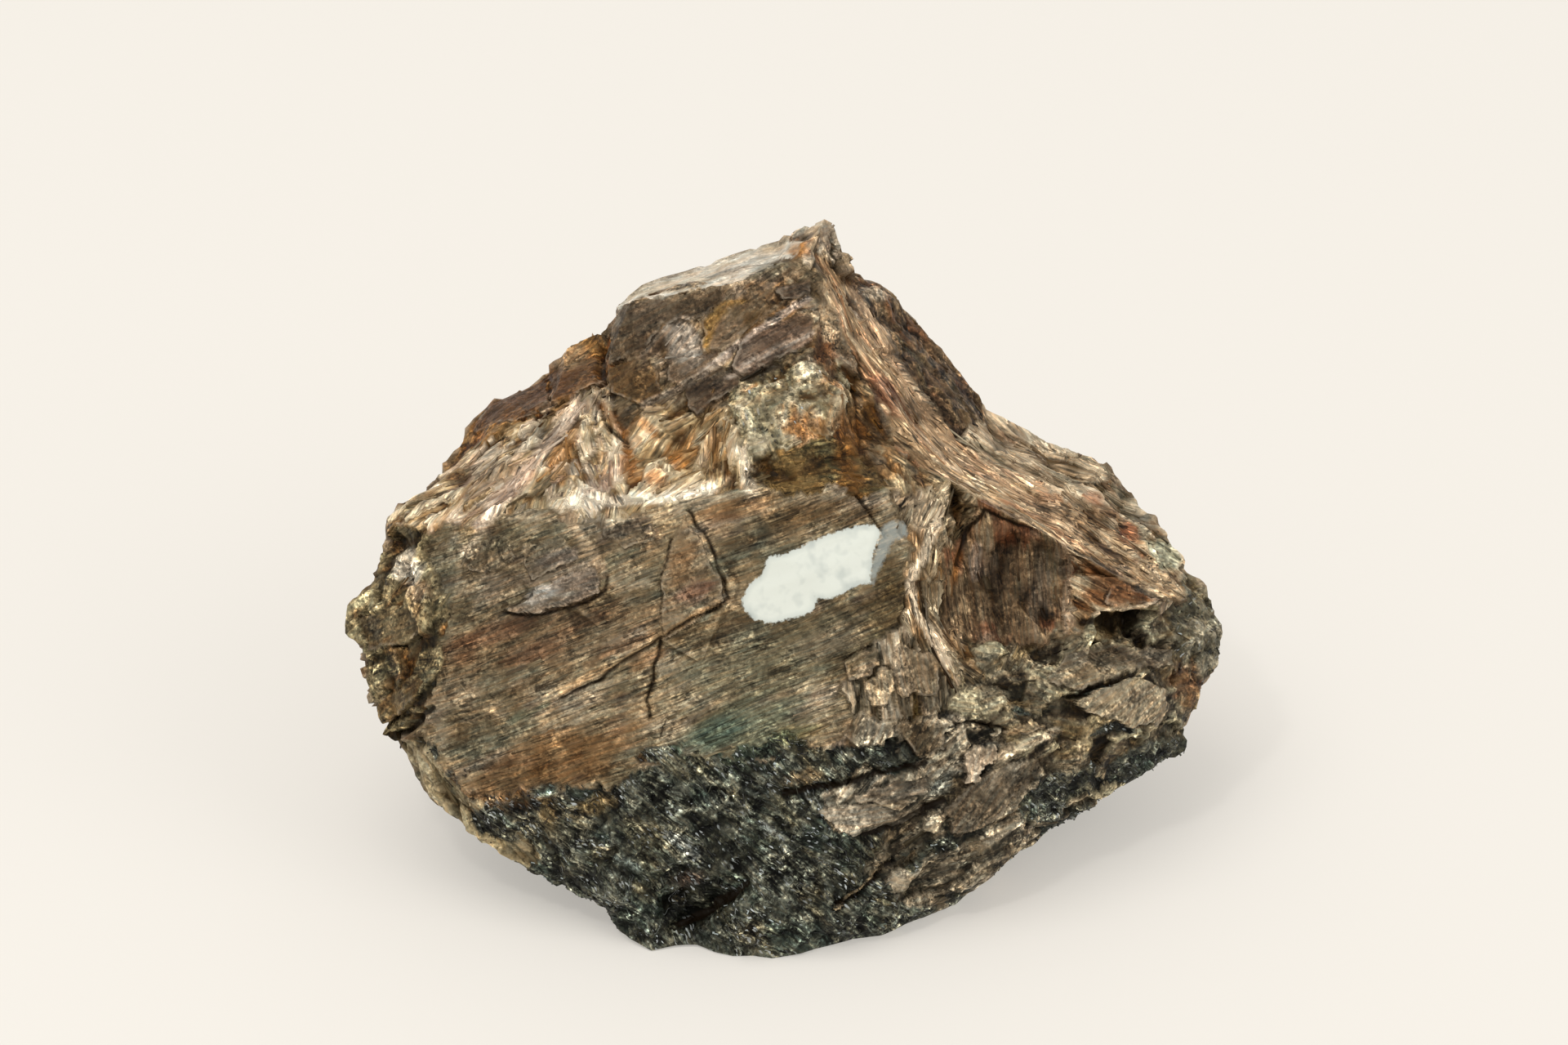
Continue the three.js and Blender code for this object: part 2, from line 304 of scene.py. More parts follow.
GROUNDS = {
    "front": Ground(
        [(-43, 52), (-40, 53), (-36, 53.4), (-32, 54.5), (-27, 53.8), (-22, 53), (-16, 55.2), (-11, 57),
         (-5.5, 56.7), (0, 57.3), (8, 57), (12.5, 56.7), (14.5, 53), (15.2, 47), (14.5, 41), (10, 37),
         (7.5, 32.5), (9, 29), (5, 25.5), (0, 24.5), (-6, 24.5), (-10, 24.5), (-13, 24), (-14.8, 22.8),
         (-18, 22), (-22.5, 19.8), (-27, 20.2), (-32, 20.4), (-37, 19.8), (-41, 22), (-44, 25.5),
         (-46, 27.5), (-44, 31), (-42, 37), (-41, 43), (-42, 47), (-44, 49)],
        Straight(21), blade=(1.5, 13, 0.2), colours=("3b2f1f", "6c614c", "958a76"),
        tints=("78644d", "606457", "5e544c", "88765b"), bundle=(9, 4, 0.06), lumps=0.14, silk=0.55,
        contrast=1.12, fine=1.5, laths=(0.05, 3.0, 0.3), smooth=True,
    ),
    "left_end": Ground(
        [(-54, 40), (-52, 43.5), (-50, 46.5), (-50, 51), (-50, 53.5), (-47, 55.5), (-43, 53), (-43, 52),
         (-44, 49), (-42, 47), (-41, 43), (-42, 37), (-44, 31), (-46, 27.5), (-50, 27.5), (-51, 32),
         (-53, 37)],
        Straight(38), blade=(1.2, 6, 0.3), colours=("21190b", "524833", "93886a"),
        tints=("654421", "28291d", "7b7157"), bundle=(7, 4.5, 0.9), steps=1.8, lumps=0.35, grain=0.3,
        silk=0.45, contrast=1.68, laths=(0.2, 2.4, 0.25),
    ),
    "shelf_left": Ground(
        [(-50, 53.5), (-47, 56.4), (-44, 58), (-40, 59.5), (-37, 62.5), (-34, 65.5), (-30, 67), (-26, 69),
         (-22.5, 70.2), (-21, 67), (-19, 63), (-19, 54.2), (-22, 53), (-27, 53.8), (-32, 54.5),
         (-36, 53.4), (-40, 53), (-43, 52)],
        Fan(-24, 71), blade=(0.8, 9, 0.3), colours=("46331d", "a08b69", "d9ccb2"),
        tints=("845b2d", "c5ac98", "5c5948", "d8ccb9"), bundle=(7, 2.6, 0.45), steps=0.65, lumps=0.25,
        silk=0.85, contrast=0.95, short=1.3, fine=1.3, laths=(0.6, 4.6, 0.28),
    ),
    "shelf_right": Ground(
        [(-19, 63), (-17, 67), (-13, 68), (-10, 66.5), (-6.5, 67), (-5.5, 61), (-3.5, 57), (-5.5, 56.7),
         (-11, 57), (-16, 55.2), (-19, 54.2)],
        Fan(-3, 73), blade=(0.8, 8, 0.3), colours=("46331d", "9b8562", "d5c8ac"),
        tints=("8a5f30", "c1aa90", "736449"), bundle=(6, 2.4, 0.5), steps=0.65, silk=0.85, contrast=0.95,
        short=1.3, fine=1.3, laths=(0.6, 4.2, 0.28),
    ),
    "wing": Ground(
        [(-45, 57.8), (-42, 61), (-39, 66), (-36.5, 68.6), (-30, 71.4), (-28.4, 74), (-27, 76),
         (-22, 77.6), (-20.8, 73), (-22, 70.2), (-26, 68.8), (-30, 66.8), (-34, 65.4), (-37, 62.4),
         (-40, 59.5)],
        Straight(33), blade=(3.0, 12, 0.7), colours=("24140a", "553618", "86643a"),
        tints=("6e431c", "7a6446"), bundle=(8, 4, 0.25), steps=0.5, lumps=0.5, contrast=1.5,
        laths=(0.1, 3, 0.4), smooth=True,
    ),
    "block": Ground(
        [(-20.8, 77), (-21, 79.2), (-18, 80.5), (-12, 81.5), (-7, 82.5), (-4, 84.2), (3, 86.5), (5, 85.8),
         (5.2, 82), (4.3, 77), (3.5, 73), (0, 72.5), (-3, 71.5), (-5.5, 70), (-6.5, 67), (-10, 66.5),
         (-13, 68), (-17, 67), (-19, 63), (-21, 67), (-22, 70.2), (-20.8, 73)],
        Straight(30), blade=(2.2, 8, 0.6), colours=("372917", "6b5a46", "9e8d74"),
        tints=("6f4e27", "8c7e70", "4e4736"), bundle=(6, 3.4, 0.35), steps=0.4, silk=0.45, contrast=1.25,
        laths=(0.15, 2.6, 0.4),
    ),
    # The pale top: its light colours are a painted sheen, the reflection of the light on a face that looks up
    "top": Ground(
        [(-21, 79.2), (-20, 81), (-17.5, 83), (-11.9, 84.6), (-6.3, 86.8), (-0.7, 89), (0.9, 88.6),
         (1.8, 86.6), (1.2, 85.5), (-1, 84.5), (-3.5, 83.6), (-7, 82.4), (-12, 81.5), (-18, 80.5)],
        Straight(20), blade=(2.4, 12, 0.12), colours=("9a8d77", "c8c0b2", "e6e2d8"),
        tints=("b6ac96", "c4c0b7"), bundle=(10, 4, 0.05), lumps=0.15, silk=0.45, contrast=0.55, short=1.5,
        smooth=True,
    ),
    "peak": Ground(
        [(0.9, 88.6), (-0.7, 89), (2, 91), (5, 92), (8, 91), (7.6, 86), (6.4, 85), (4.4, 84.6),
         (1.2, 85.5), (1.8, 86.6)],
        Straight(25), blade=(1.2, 4, 0.4), colours=("3d3324", "85786a", "b9ae9c"),
        tints=("8a5a28", "6d7068", "9a8466"), bundle=(3, 2, 0.6), steps=0.5, grain=0.2, silk=0.4,
        contrast=1.2, laths=(0.3, 2, 0.25),
    ),
    "lump": Ground(
        [(-5.5, 70), (-3, 71.5), (0, 72.5), (3.5, 73), (7, 72), (7.5, 69), (6.5, 65), (5, 63), (0, 63),
         (-2, 60), (-3.5, 57.2), (-5.5, 61), (-6.5, 67)],
        Straight(60), blade=(1.6, 4, 0.35), colours=("3e2c15", "7c735a", "b7ae97"),
        tints=("8e5d29", "716f5c", "a59e87"), bundle=(3, 3, 0.9), lumps=0.8, grain=0.4, silk=0.2,
        contrast=1.15, short=1.0, laths=(0.1, 1.8, 0.4),
    ),
    "recess": Ground(
        [(-2, 60), (0, 63), (5, 63), (9, 63), (10, 61), (13, 58), (12.5, 56.7), (8, 57), (0, 57.3),
         (-3.5, 57.2)],
        Straight(8), blade=(1.2, 8, 0.5), colours=("201506", "42331d", "685535"),
        tints=("64421b", "3d4130"), bundle=(6, 2, 0.3), silk=0.6, contrast=1.4, laths=(0.2, 2.6, 0.3),
    ),
    "plume": Ground(
        [(4.6, 85.2), (6.4, 86), (7.2, 84), (8.2, 81), (10.5, 77), (13.6, 71.6), (18, 66.6), (22.5, 62.6),
         (28, 60), (33, 57), (38, 54.5), (43, 52.5), (46, 49), (48.5, 45), (47.6, 43.8), (40.8, 46.4),
         (34.6, 50.2), (29.4, 53.2), (24, 55.6), (20.4, 58.4), (16, 60), (13.4, 63), (12, 67), (10, 71),
         (7.6, 76), (5.4, 80)],
        PLUME_LIE, blade=(0.6, 9, 0.16), colours=("3f2d1a", "a0886a", "c9b699"),
        tints=("8e5f40", "b09b84", "6b5843"), bundle=(6, 1.6, 0.22), silk=1.0, contrast=1.2, short=1.9,
        fine=1.5, laths=(0.45, 4.2, 0.16),
    ),
    "ridge": Ground(
        [(6.4, 87), (6.3, 85.7), (8.1, 84.4), (12.3, 83), (14.6, 81), (18.4, 76.6), (22.2, 72.4),
         (25, 69.4), (25.6, 67.6), (22.5, 63), (19, 67), (15, 72), (12, 77), (8.5, 81), (7.5, 84)],
        PLUME_LIE, blade=(1.6, 5, 0.6), colours=("1e140a", "473829", "725f46"),
        tints=("573621", "383629", "73634d"), bundle=(4, 2.4, 0.5), steps=0.6, lumps=0.5, grain=0.25,
        silk=0.35, contrast=1.4, laths=(0.2, 1.8, 0.35),
    ),
    "ledge": Ground(
        [(25.6, 67.6), (28.8, 66), (31.9, 64), (37.2, 62.4), (40.6, 60.6), (40.6, 57.6), (44.4, 55.8),
         (48, 53), (50.8, 48), (51.2, 45.6), (48.5, 45), (46, 49), (43, 52.5), (38, 54.5), (33, 57),
         (28, 60), (22.5, 63)],
        PLUME_LIE, blade=(1.2, 12, 0.4), colours=("4f412c", "96856e", "c7b79e"),
        tints=("775432", "747465", "b7ab97"), bundle=(9, 3.2, 0.25), steps=0.9, silk=0.8, contrast=1.01,
        short=1.3, fine=1.3, laths=(0.5, 4.0, 0.2),
    ),
    "notch": Ground(
        [(7, 72), (9, 71), (11.5, 67), (13, 63), (16, 60), (20.4, 58.4), (15, 56), (12.5, 56.7), (13, 58),
         (10, 61), (9, 63), (5, 63), (6.5, 65), (7.5, 69)],
        Straight(-58), blade=(1.0, 7, 0.4), colours=("2a1b07", "5f4c35", "958569"),
        tints=("754f23", "746b5d"), bundle=(5, 2.2, 0.5), steps=0.6, silk=0.6, contrast=1.52, short=1.0,
        laths=(0.25, 2.6, 0.3),
    ),
    "crest": Ground(
        [(12.5, 56.7), (15, 56), (20.4, 58.4), (24, 55.6), (22, 53), (20, 49), (19, 44), (21, 39),
         (24, 35.5), (21, 34), (17.5, 36.5), (15, 41), (15.2, 47), (14.5, 53)],
        Sweep(30, 46, 14), blade=(0.8, 9, 0.4), colours=("291d0e", "685943", "ac9f87"),
        tints=("755025", "807263", "473d2d"), bundle=(7, 2.0, 0.25), steps=0.5, lumps=0.25, silk=0.8,
        contrast=1.47, short=1.3, fine=1.3, laths=(0.8, 3.6, 0.18),
    ),
    "hollow": Ground(
        [(24, 55.6), (29.4, 53.2), (34.6, 50.2), (35, 47), (34.4, 39.4), (28, 38), (21, 39), (19, 44),
         (20, 49), (22, 53)],
        Straight(97), blade=(0.9, 6, 0.15), colours=("24190c", "574735", "86745b"),
        tints=("6c3f29", "464335", "7b6c5b"), bundle=(10, 3.6, 0.15), steps=0.35, lumps=0.12,
        contrast=1.2, short=1.8, fine=1.5, laths=(0.3, 3.0, 0.3),
    ),
    "wedge": Ground(
        [(34.6, 50.2), (40.8, 46.4), (47.6, 43.8), (47.9, 43.1), (43.5, 42.6), (38.4, 41.8), (35, 40),
         (35, 47)],
        Straight(-28), blade=(2.0, 10, 0.4), colours=("372513", "6a5943", "9b8d76"),
        tints=("6e4626", "797367"), bundle=(8, 3, 0.2), lumps=0.2, silk=0.7, contrast=1.32, short=1.0,
        laths=(0.15, 3.0, 0.3),
    ),
    "comb": Ground(
        [(10, 37), (14.5, 41), (15, 41), (17.5, 36.5), (21, 34), (20, 30), (16, 28.5), (12, 29), (9, 29),
         (7.5, 32.5)],
        Straight(95), blade=(0.9, 4.5, 0.9), colours=("2e230f", "605544", "958a79"),
        tints=("6c5333", "4f4a3e"), bundle=(4, 2, 0.15), steps=0.6, silk=0.8, contrast=1.04,
        laths=(0.3, 2.2, 0.3),
    ),
    "knob": Ground(
        [(49, 47), (51.4, 46), (54, 43.8), (54.6, 40.1), (54, 35.6), (51.8, 32), (48, 34), (48, 38),
         (47, 42), (48, 43.1)],
        Straight(40), blade=(1.6, 4, 0.3), colours=("1c170c", "514e40", "908b7b"),
        tints=("6c5e43", "3b4136"), lumps=0.7, grain=0.5, silk=0.05, contrast=1.05,
    ),
    "flank": Ground(
        [(21, 39), (28, 38), (34.4, 39.4), (38.4, 41.8), (43.5, 42.6), (47, 42), (48, 38), (48, 34),
         (51.8, 32), (50, 27.8), (49, 25), (44.6, 21.4), (38.6, 18.4), (34, 21), (30, 24), (27, 28),
         (22, 29.5), (20, 30), (21, 34), (24, 35.5)],
        Straight(20), blade=(1.2, 8, 0.4), colours=("1c150a", "5d5445", "a39c82"),
        tints=("303025", "7d6b4b", "867d69"), bundle=(7, 3.6, 0.8), steps=1.4, lumps=0.5, grain=0.2,
        silk=0.35, contrast=1.34, laths=(0.3, 2.6, 0.25),
    ),
    "lower_right": Ground(
        [(12, 29), (16, 28.5), (20, 30), (22, 29.5), (27, 28), (30, 24), (34, 21), (38.6, 18.4),
         (35.4, 17), (31.6, 16), (30.2, 13.6), (25.6, 9.2), (19.7, 5.8), (14, 7), (10, 11), (7, 15),
         (4, 17), (5, 20), (9, 22), (10, 25), (9, 29)],
        Straight(26), blade=(1.2, 8, 0.4), colours=("15150f", "544d41", "978d7a"),
        tints=("1c2321", "706a5c", "9c9586", "776851"), bundle=(7, 3.6, 0.7), steps=1.4, lumps=0.5,
        grain=0.2, silk=0.35, contrast=1.68, laths=(0.3, 2.6, 0.25),
    ),
    "rim": Ground(
        [(-47, 27.4), (-45, 21), (-41, 15.4), (-35, 11), (-32, 9.6), (-30, 13), (-36, 18), (-40, 21),
         (-44, 25.5)],
        Straight(-35), blade=(1.0, 4, 0.4), colours=("332c1c", "776b52", "afa387"),
        tints=("444333", "8b7f61"), bundle=(4, 2.4, 0.8), steps=0.7, lumps=0.35, grain=0.35, silk=0.4,
        contrast=0.78, laths=(0.25, 2.0, 0.35),
    ),
    "base": Ground(
        [],
        Straight(-38), blade=(1.2, 3, 0.3), colours=("0a0a08", "2c2e28", "585a51"),
        tints=("3c4640", "474334", "1a1e1b"), lumps=0.85, grain=0.7, contrast=2.4, short=2.6, fine=1.2,
    ),
    "far": Ground(
        [],
        Straight(24), blade=(2.0, 11, 0.45), colours=("2c2114", "655643", "a19380"),
        tints=("70492a", "3f3c31", "93877a", "7b6a4e", "4d3d2c"), bundle=(9.0, 3.4, 0.7), steps=0.6,
        lumps=0.2, silk=0.7, contrast=1.2, short=1.2, fine=1.2, laths=(0.25, 3.0, 0.3), tumbled=True,
    ),
}
GROUND_NAMES = list(GROUNDS)

PLATES = [
    # upper block
    Plate([(-20.3, 78.7), (-19.3, 79.9), (-8, 82), (-7.5, 80.3), (-10, 78), (-14.7, 77.3), (-17, 74),
           (-21.8, 72.3)],
          rise=0.5, degrees=27, colour="3d3327", contrast=0.85, cover=0.85),
    Plate([(-10, 77.7), (-7.3, 80.3), (-2.3, 80.3), (-1.7, 79), (-5.3, 76), (-5.3, 74.7), (-10, 73.8)],
          rise=0.3, degrees=40, colour="52422a", contrast=0.9, cover=0.5),
    Plate([(-0.7, 81.7), (3.7, 82.7), (3, 80.7), (0, 80.3)],
          rise=0.4, degrees=20, colour="40362e", contrast=0.85, cover=0.85),
    Plate([(-4.7, 76), (3, 78.7), (3.7, 75.3), (1, 74), (-4.7, 70.7), (-6.7, 72)],
          rise=0.7, degrees=30, colour="5a4c42", contrast=0.85, cover=0.85),
    Plate([(-12.3, 69), (-8, 72), (-5.3, 70.7), (-5.3, 70), (-10.7, 66)],
          rise=0.8, degrees=30, colour="42372d", contrast=0.85, cover=0.85),
    Plate([(-21.8, 72), (-16.7, 73.3), (-14.7, 69.3), (-17, 67.3), (-21.3, 69)],
          rise=0.4, degrees=35, colour="533f26", contrast=0.85, cover=0.85),
    Plate([(-14.5, 73.6), (-10.6, 73.4), (-8.2, 72.2), (-12.4, 69.4), (-14.4, 70)],
          rise=0.3, degrees=33, colour="6d5c4a", contrast=0.85, cover=0.85),
    # left wing
    Plate([(-28.3, 72), (-22.6, 73.3), (-22.9, 70.3), (-25.7, 68.7), (-28.7, 67.3)],
          rise=0.5, degrees=20, colour="4f361d", contrast=0.9, cover=0.9),
    Plate([(-36, 68), (-29, 70.7), (-28.9, 67.3), (-35.7, 64.7), (-38, 64)],
          rise=0.4, degrees=30, colour="482f16", contrast=0.9, cover=0.9),
    # front face
    Plate([(-33.7, 42.6), (-32.3, 42.2), (-30, 42.2), (-27.1, 42.7), (-24.1, 43.9), (-22.3, 44.8),
           (-21.9, 46.3), (-23.4, 47.3), (-25.6, 47), (-27.8, 45.9), (-30.8, 44.4), (-32.4, 43.3)],
          rise=0.8, degrees=16, colour="8f8378", contrast=0.8, cover=0.6),
    Plate([(-31.5, 50.3), (-27.1, 51.4), (-24.9, 48.5), (-30.8, 46.3)],
          rise=0.25, degrees=25, colour="5b5246", contrast=1.2, cover=0.5),
    Plate([(-22, 53.6), (-16.4, 53.8), (-15.4, 50.9), (-19, 50.2), (-22, 51.2)],
          rise=0.3, degrees=18, colour="4a443b", contrast=1.2, cover=0.5),
    Plate([(-38.6, 50.4), (-34, 51.6), (-32.4, 48.6), (-36, 47), (-39, 47.6)],
          rise=0.25, degrees=30, colour="5a4f3f", contrast=1.2, cover=0.5),
    Plate([(-14.8, 46.6), (-13.6, 51), (-12, 54), (-9.2, 49.4), (-7.1, 43.5), (-10.7, 41.2),
           (-14.8, 38.8)],
          rise=0.55, degrees=21, colour="675947", contrast=0.8, cover=0.4),
    # comb
    Plate([(7.2, 36), (11, 37.8), (11.4, 36.2), (10.2, 34.6), (7.8, 33.8)],
          rise=0.45, degrees=22, colour="7d6b53", contrast=1.2, cover=0.35),
    Plate([(9.4, 33.4), (11.8, 35.4), (13, 35.4), (13.6, 33.4), (12.6, 31.4), (10.6, 30.8)],
          rise=0.35, degrees=95, colour="a8967a", contrast=1.2, cover=0.45),
    Plate([(13.8, 38.2), (18.6, 37), (18.6, 32.2), (14.2, 32.2), (12.8, 35)],
          rise=0.55, degrees=95, colour="86745c", contrast=1.2, cover=0.3),
    Plate([(13.4, 28.2), (18.6, 31), (19.6, 25.8), (16.6, 24.6)],
          rise=0.6, degrees=60, colour="695a45", contrast=1.2, cover=0.45),
    # lower right
    Plate([(8.3, 19.9), (10.8, 20.8), (17.3, 22.4), (17.6, 20.8), (14.4, 19.6), (9.4, 18.9)],
          rise=0.8, degrees=14, colour="7d7365"),
    Plate([(4, 17.7), (7.2, 18.8), (12.6, 18.8), (17.3, 18.1), (16.5, 17), (11.9, 15.5), (8.3, 15.2),
           (5.4, 16.6)],
          rise=1.0, degrees=8, colour="8d8476"),
    Plate([(20.5, 15.2), (20.1, 18.1), (22.3, 20.9), (24.5, 22.4), (27.3, 23.5), (31.3, 24.2), (30.2, 22),
           (28, 19.5), (25.2, 16.6), (22.3, 15.2)],
          rise=0.7, degrees=50, colour="51483d"),
    Plate([(21.9, 25.6), (25.9, 25.6), (25.9, 24.2), (24.1, 22.9), (23.7, 21.7), (22.1, 21.5),
           (22.3, 23.5)],
          rise=0.6, degrees=70, colour="a09282"),
    Plate([(5.9, 6.2), (10.8, 10.1), (12.6, 12.3), (12.2, 11.2), (9, 8), (6.8, 6.4)],
          rise=1.0, degrees=40, colour="85745a"),
    Plate([(26, 27.6), (30.4, 29.2), (32, 28.6), (29, 27.2)], rise=0.4, degrees=14, colour="8a765a"),
    # right flank
    Plate([(35.6, 31.4), (38.8, 33.2), (43.2, 34.6), (44.6, 33.9), (46.4, 32.8), (46.8, 30.6),
           (45.3, 28.5), (42.4, 28.1), (39.6, 29.2), (36, 30.6)],
          rise=0.9, degrees=34, colour="938672"),
    Plate([(32, 34.6), (34.5, 36.8), (39.6, 38.6), (47.8, 37.5), (47.8, 35.3), (44.2, 35.7), (39.6, 34.2),
           (36, 32.8), (33.5, 33.2)],
          rise=0.5, degrees=20, colour="6f6557"),
    Plate([(40.5, 46), (44, 44.4), (46.6, 43.6), (41.6, 42.8), (38.6, 42.8)],
          rise=0.4, degrees=-20, colour="553a26"),
    # left end
    Plate([(-49.6, 31), (-45.6, 34.4), (-43.6, 33.8), (-46.6, 30), (-48.8, 28.8)],
          rise=0.7, degrees=38, colour="4b3a22"),
    Plate([(-51.6, 41.4), (-46.4, 43.6), (-44, 41), (-45.4, 38.6), (-50.4, 37.6)],
          rise=0.5, degrees=30, colour="4a3e2d"),
]

# Open cracks and gaps as line, width, depth: each is cut in and painted dark as painted shade, and those
# under raised edges as painted shadow
CRACKS = [
    # A step under a raised slab: its dark line is painted shadow below the slab's edge
    ([(-27, 31.8), (-22.4, 33.9), (-19.6, 36), (-14.8, 39), (-11, 41.4), (-7.6, 42.9), (-6.6, 43.8),
      (-7.2, 46), (-9, 51)], 0.34, 0.9),
    ([(-9, 51), (-9.6, 52.2), (-10.6, 52.9), (-10.9, 54), (-11.8, 54.8)], 0.38, 0.8),
    ([(-13.6, 51), (-14.1, 48.6), (-14.8, 46.6)], 0.22, 0.6),
    ([(-14.8, 45.6), (-14.9, 42.6), (-14.6, 39.4)], 0.14, 0.4),
    ([(-14.8, 39), (-15.2, 37.2), (-15.9, 35.4), (-15.8, 33.9), (-16.7, 31.6), (-16.3, 29.4)], 0.38, 0.8),
    ([(-14, 30.2), (-14.9, 27.6), (-15, 26.4)], 0.24, 0.5),
    # Along the foot of the raised tongue plate: a painted shadow line
    ([(-34.2, 42.2), (-31.6, 41.8), (-27.6, 42.2), (-23.8, 43.4), (-21.6, 44.6),
      (-21.2, 46.6)], 0.3, 0.6),
    ([(9, 56.4), (10.2, 54.8), (11.4, 53), (12.6, 51.2)], 0.3, 0.7),
    ([(7, 36.4), (11, 38.3)], 0.25, 0.6),
    ([(-22.3, 74), (-22.5, 71.6), (-22.2, 70)], 0.5, 1.2),
    ([(-21.7, 65.4), (-19.1, 62.8)], 0.4, 0.9),
    # A deep gap in the base, painted black as painted shade
    ([(-12.7, 3.6), (-9.3, 6.3), (-5, 8.9)], 0.9, 1.8),
    # Painted shadow under a pale blade
    ([(10.1, 15.1), (13.6, 15.9), (17.3, 18), (19.6, 18.9)], 0.9, 1.6),
    ([(0, 20.1), (7.2, 21.4), (12, 22.6), (17.3, 23.9)], 0.6, 1.2),
    ([(6.6, 6.6), (9.8, 8.4), (13, 11.6)], 0.6, 1.2),
    ([(20, 28.4), (24, 28.8), (27, 28)], 0.35, 0.8),
    # The gap under the wedge, painted dark as painted shadow
    ([(36.4, 41), (38.6, 40.9), (40.8, 40.4), (43, 40.8)], 0.9, 1.6),
    ([(35.2, 31.8), (38.6, 33.7), (42.8, 35.1)], 0.4, 0.8),
    ([(-46.3, 27.4), (-44.8, 28.8), (-43.2, 30.2)], 0.6, 1.0),
    ([(12, 35.6), (13.1, 35.3), (13.8, 33.2)], 0.3, 0.7),
    ([(21.4, 48), (22.4, 52.4), (24.6, 54.6), (30, 52)], 0.5, 0.9),
]

# Ellipses of dark granular matrix that shows between the fibrous pieces
MATRIX = [
    (33.5, 19.3, 4, 2.2, 20), (43.6, 23.2, 4.5, 1.8, 25), (8, 12.4, 5, 2.6, 30), (14.6, 24.6, 2.4, 1.2, 30),
    (9.5, 24.4, 3, 1.1, 20), (3, 24.8, 4, 1.3, 10), (40, 27.6, 3, 0.7, 20), (-35.5, 16, 3, 1.4, -40),
    (-2, 26, 5, 1.2, 10), (-15, 24.6, 3.4, 1.4, 20), (18, 13, 3, 0.8, 30), (-49.9, 40, 1.0, 1.6, 0),
    (40, 33.9, 4.6, 0.5, 22), (29.6, 30.4, 2.4, 0.6, 10),
]

# Where the dark base ends under the front face, from left to right
BASE_TOP = [(-44, 25.5), (-37, 19.8), (-27, 20.2), (-22, 19.8), (-18, 22), (-13, 24), (0, 24.5), (9, 26)]
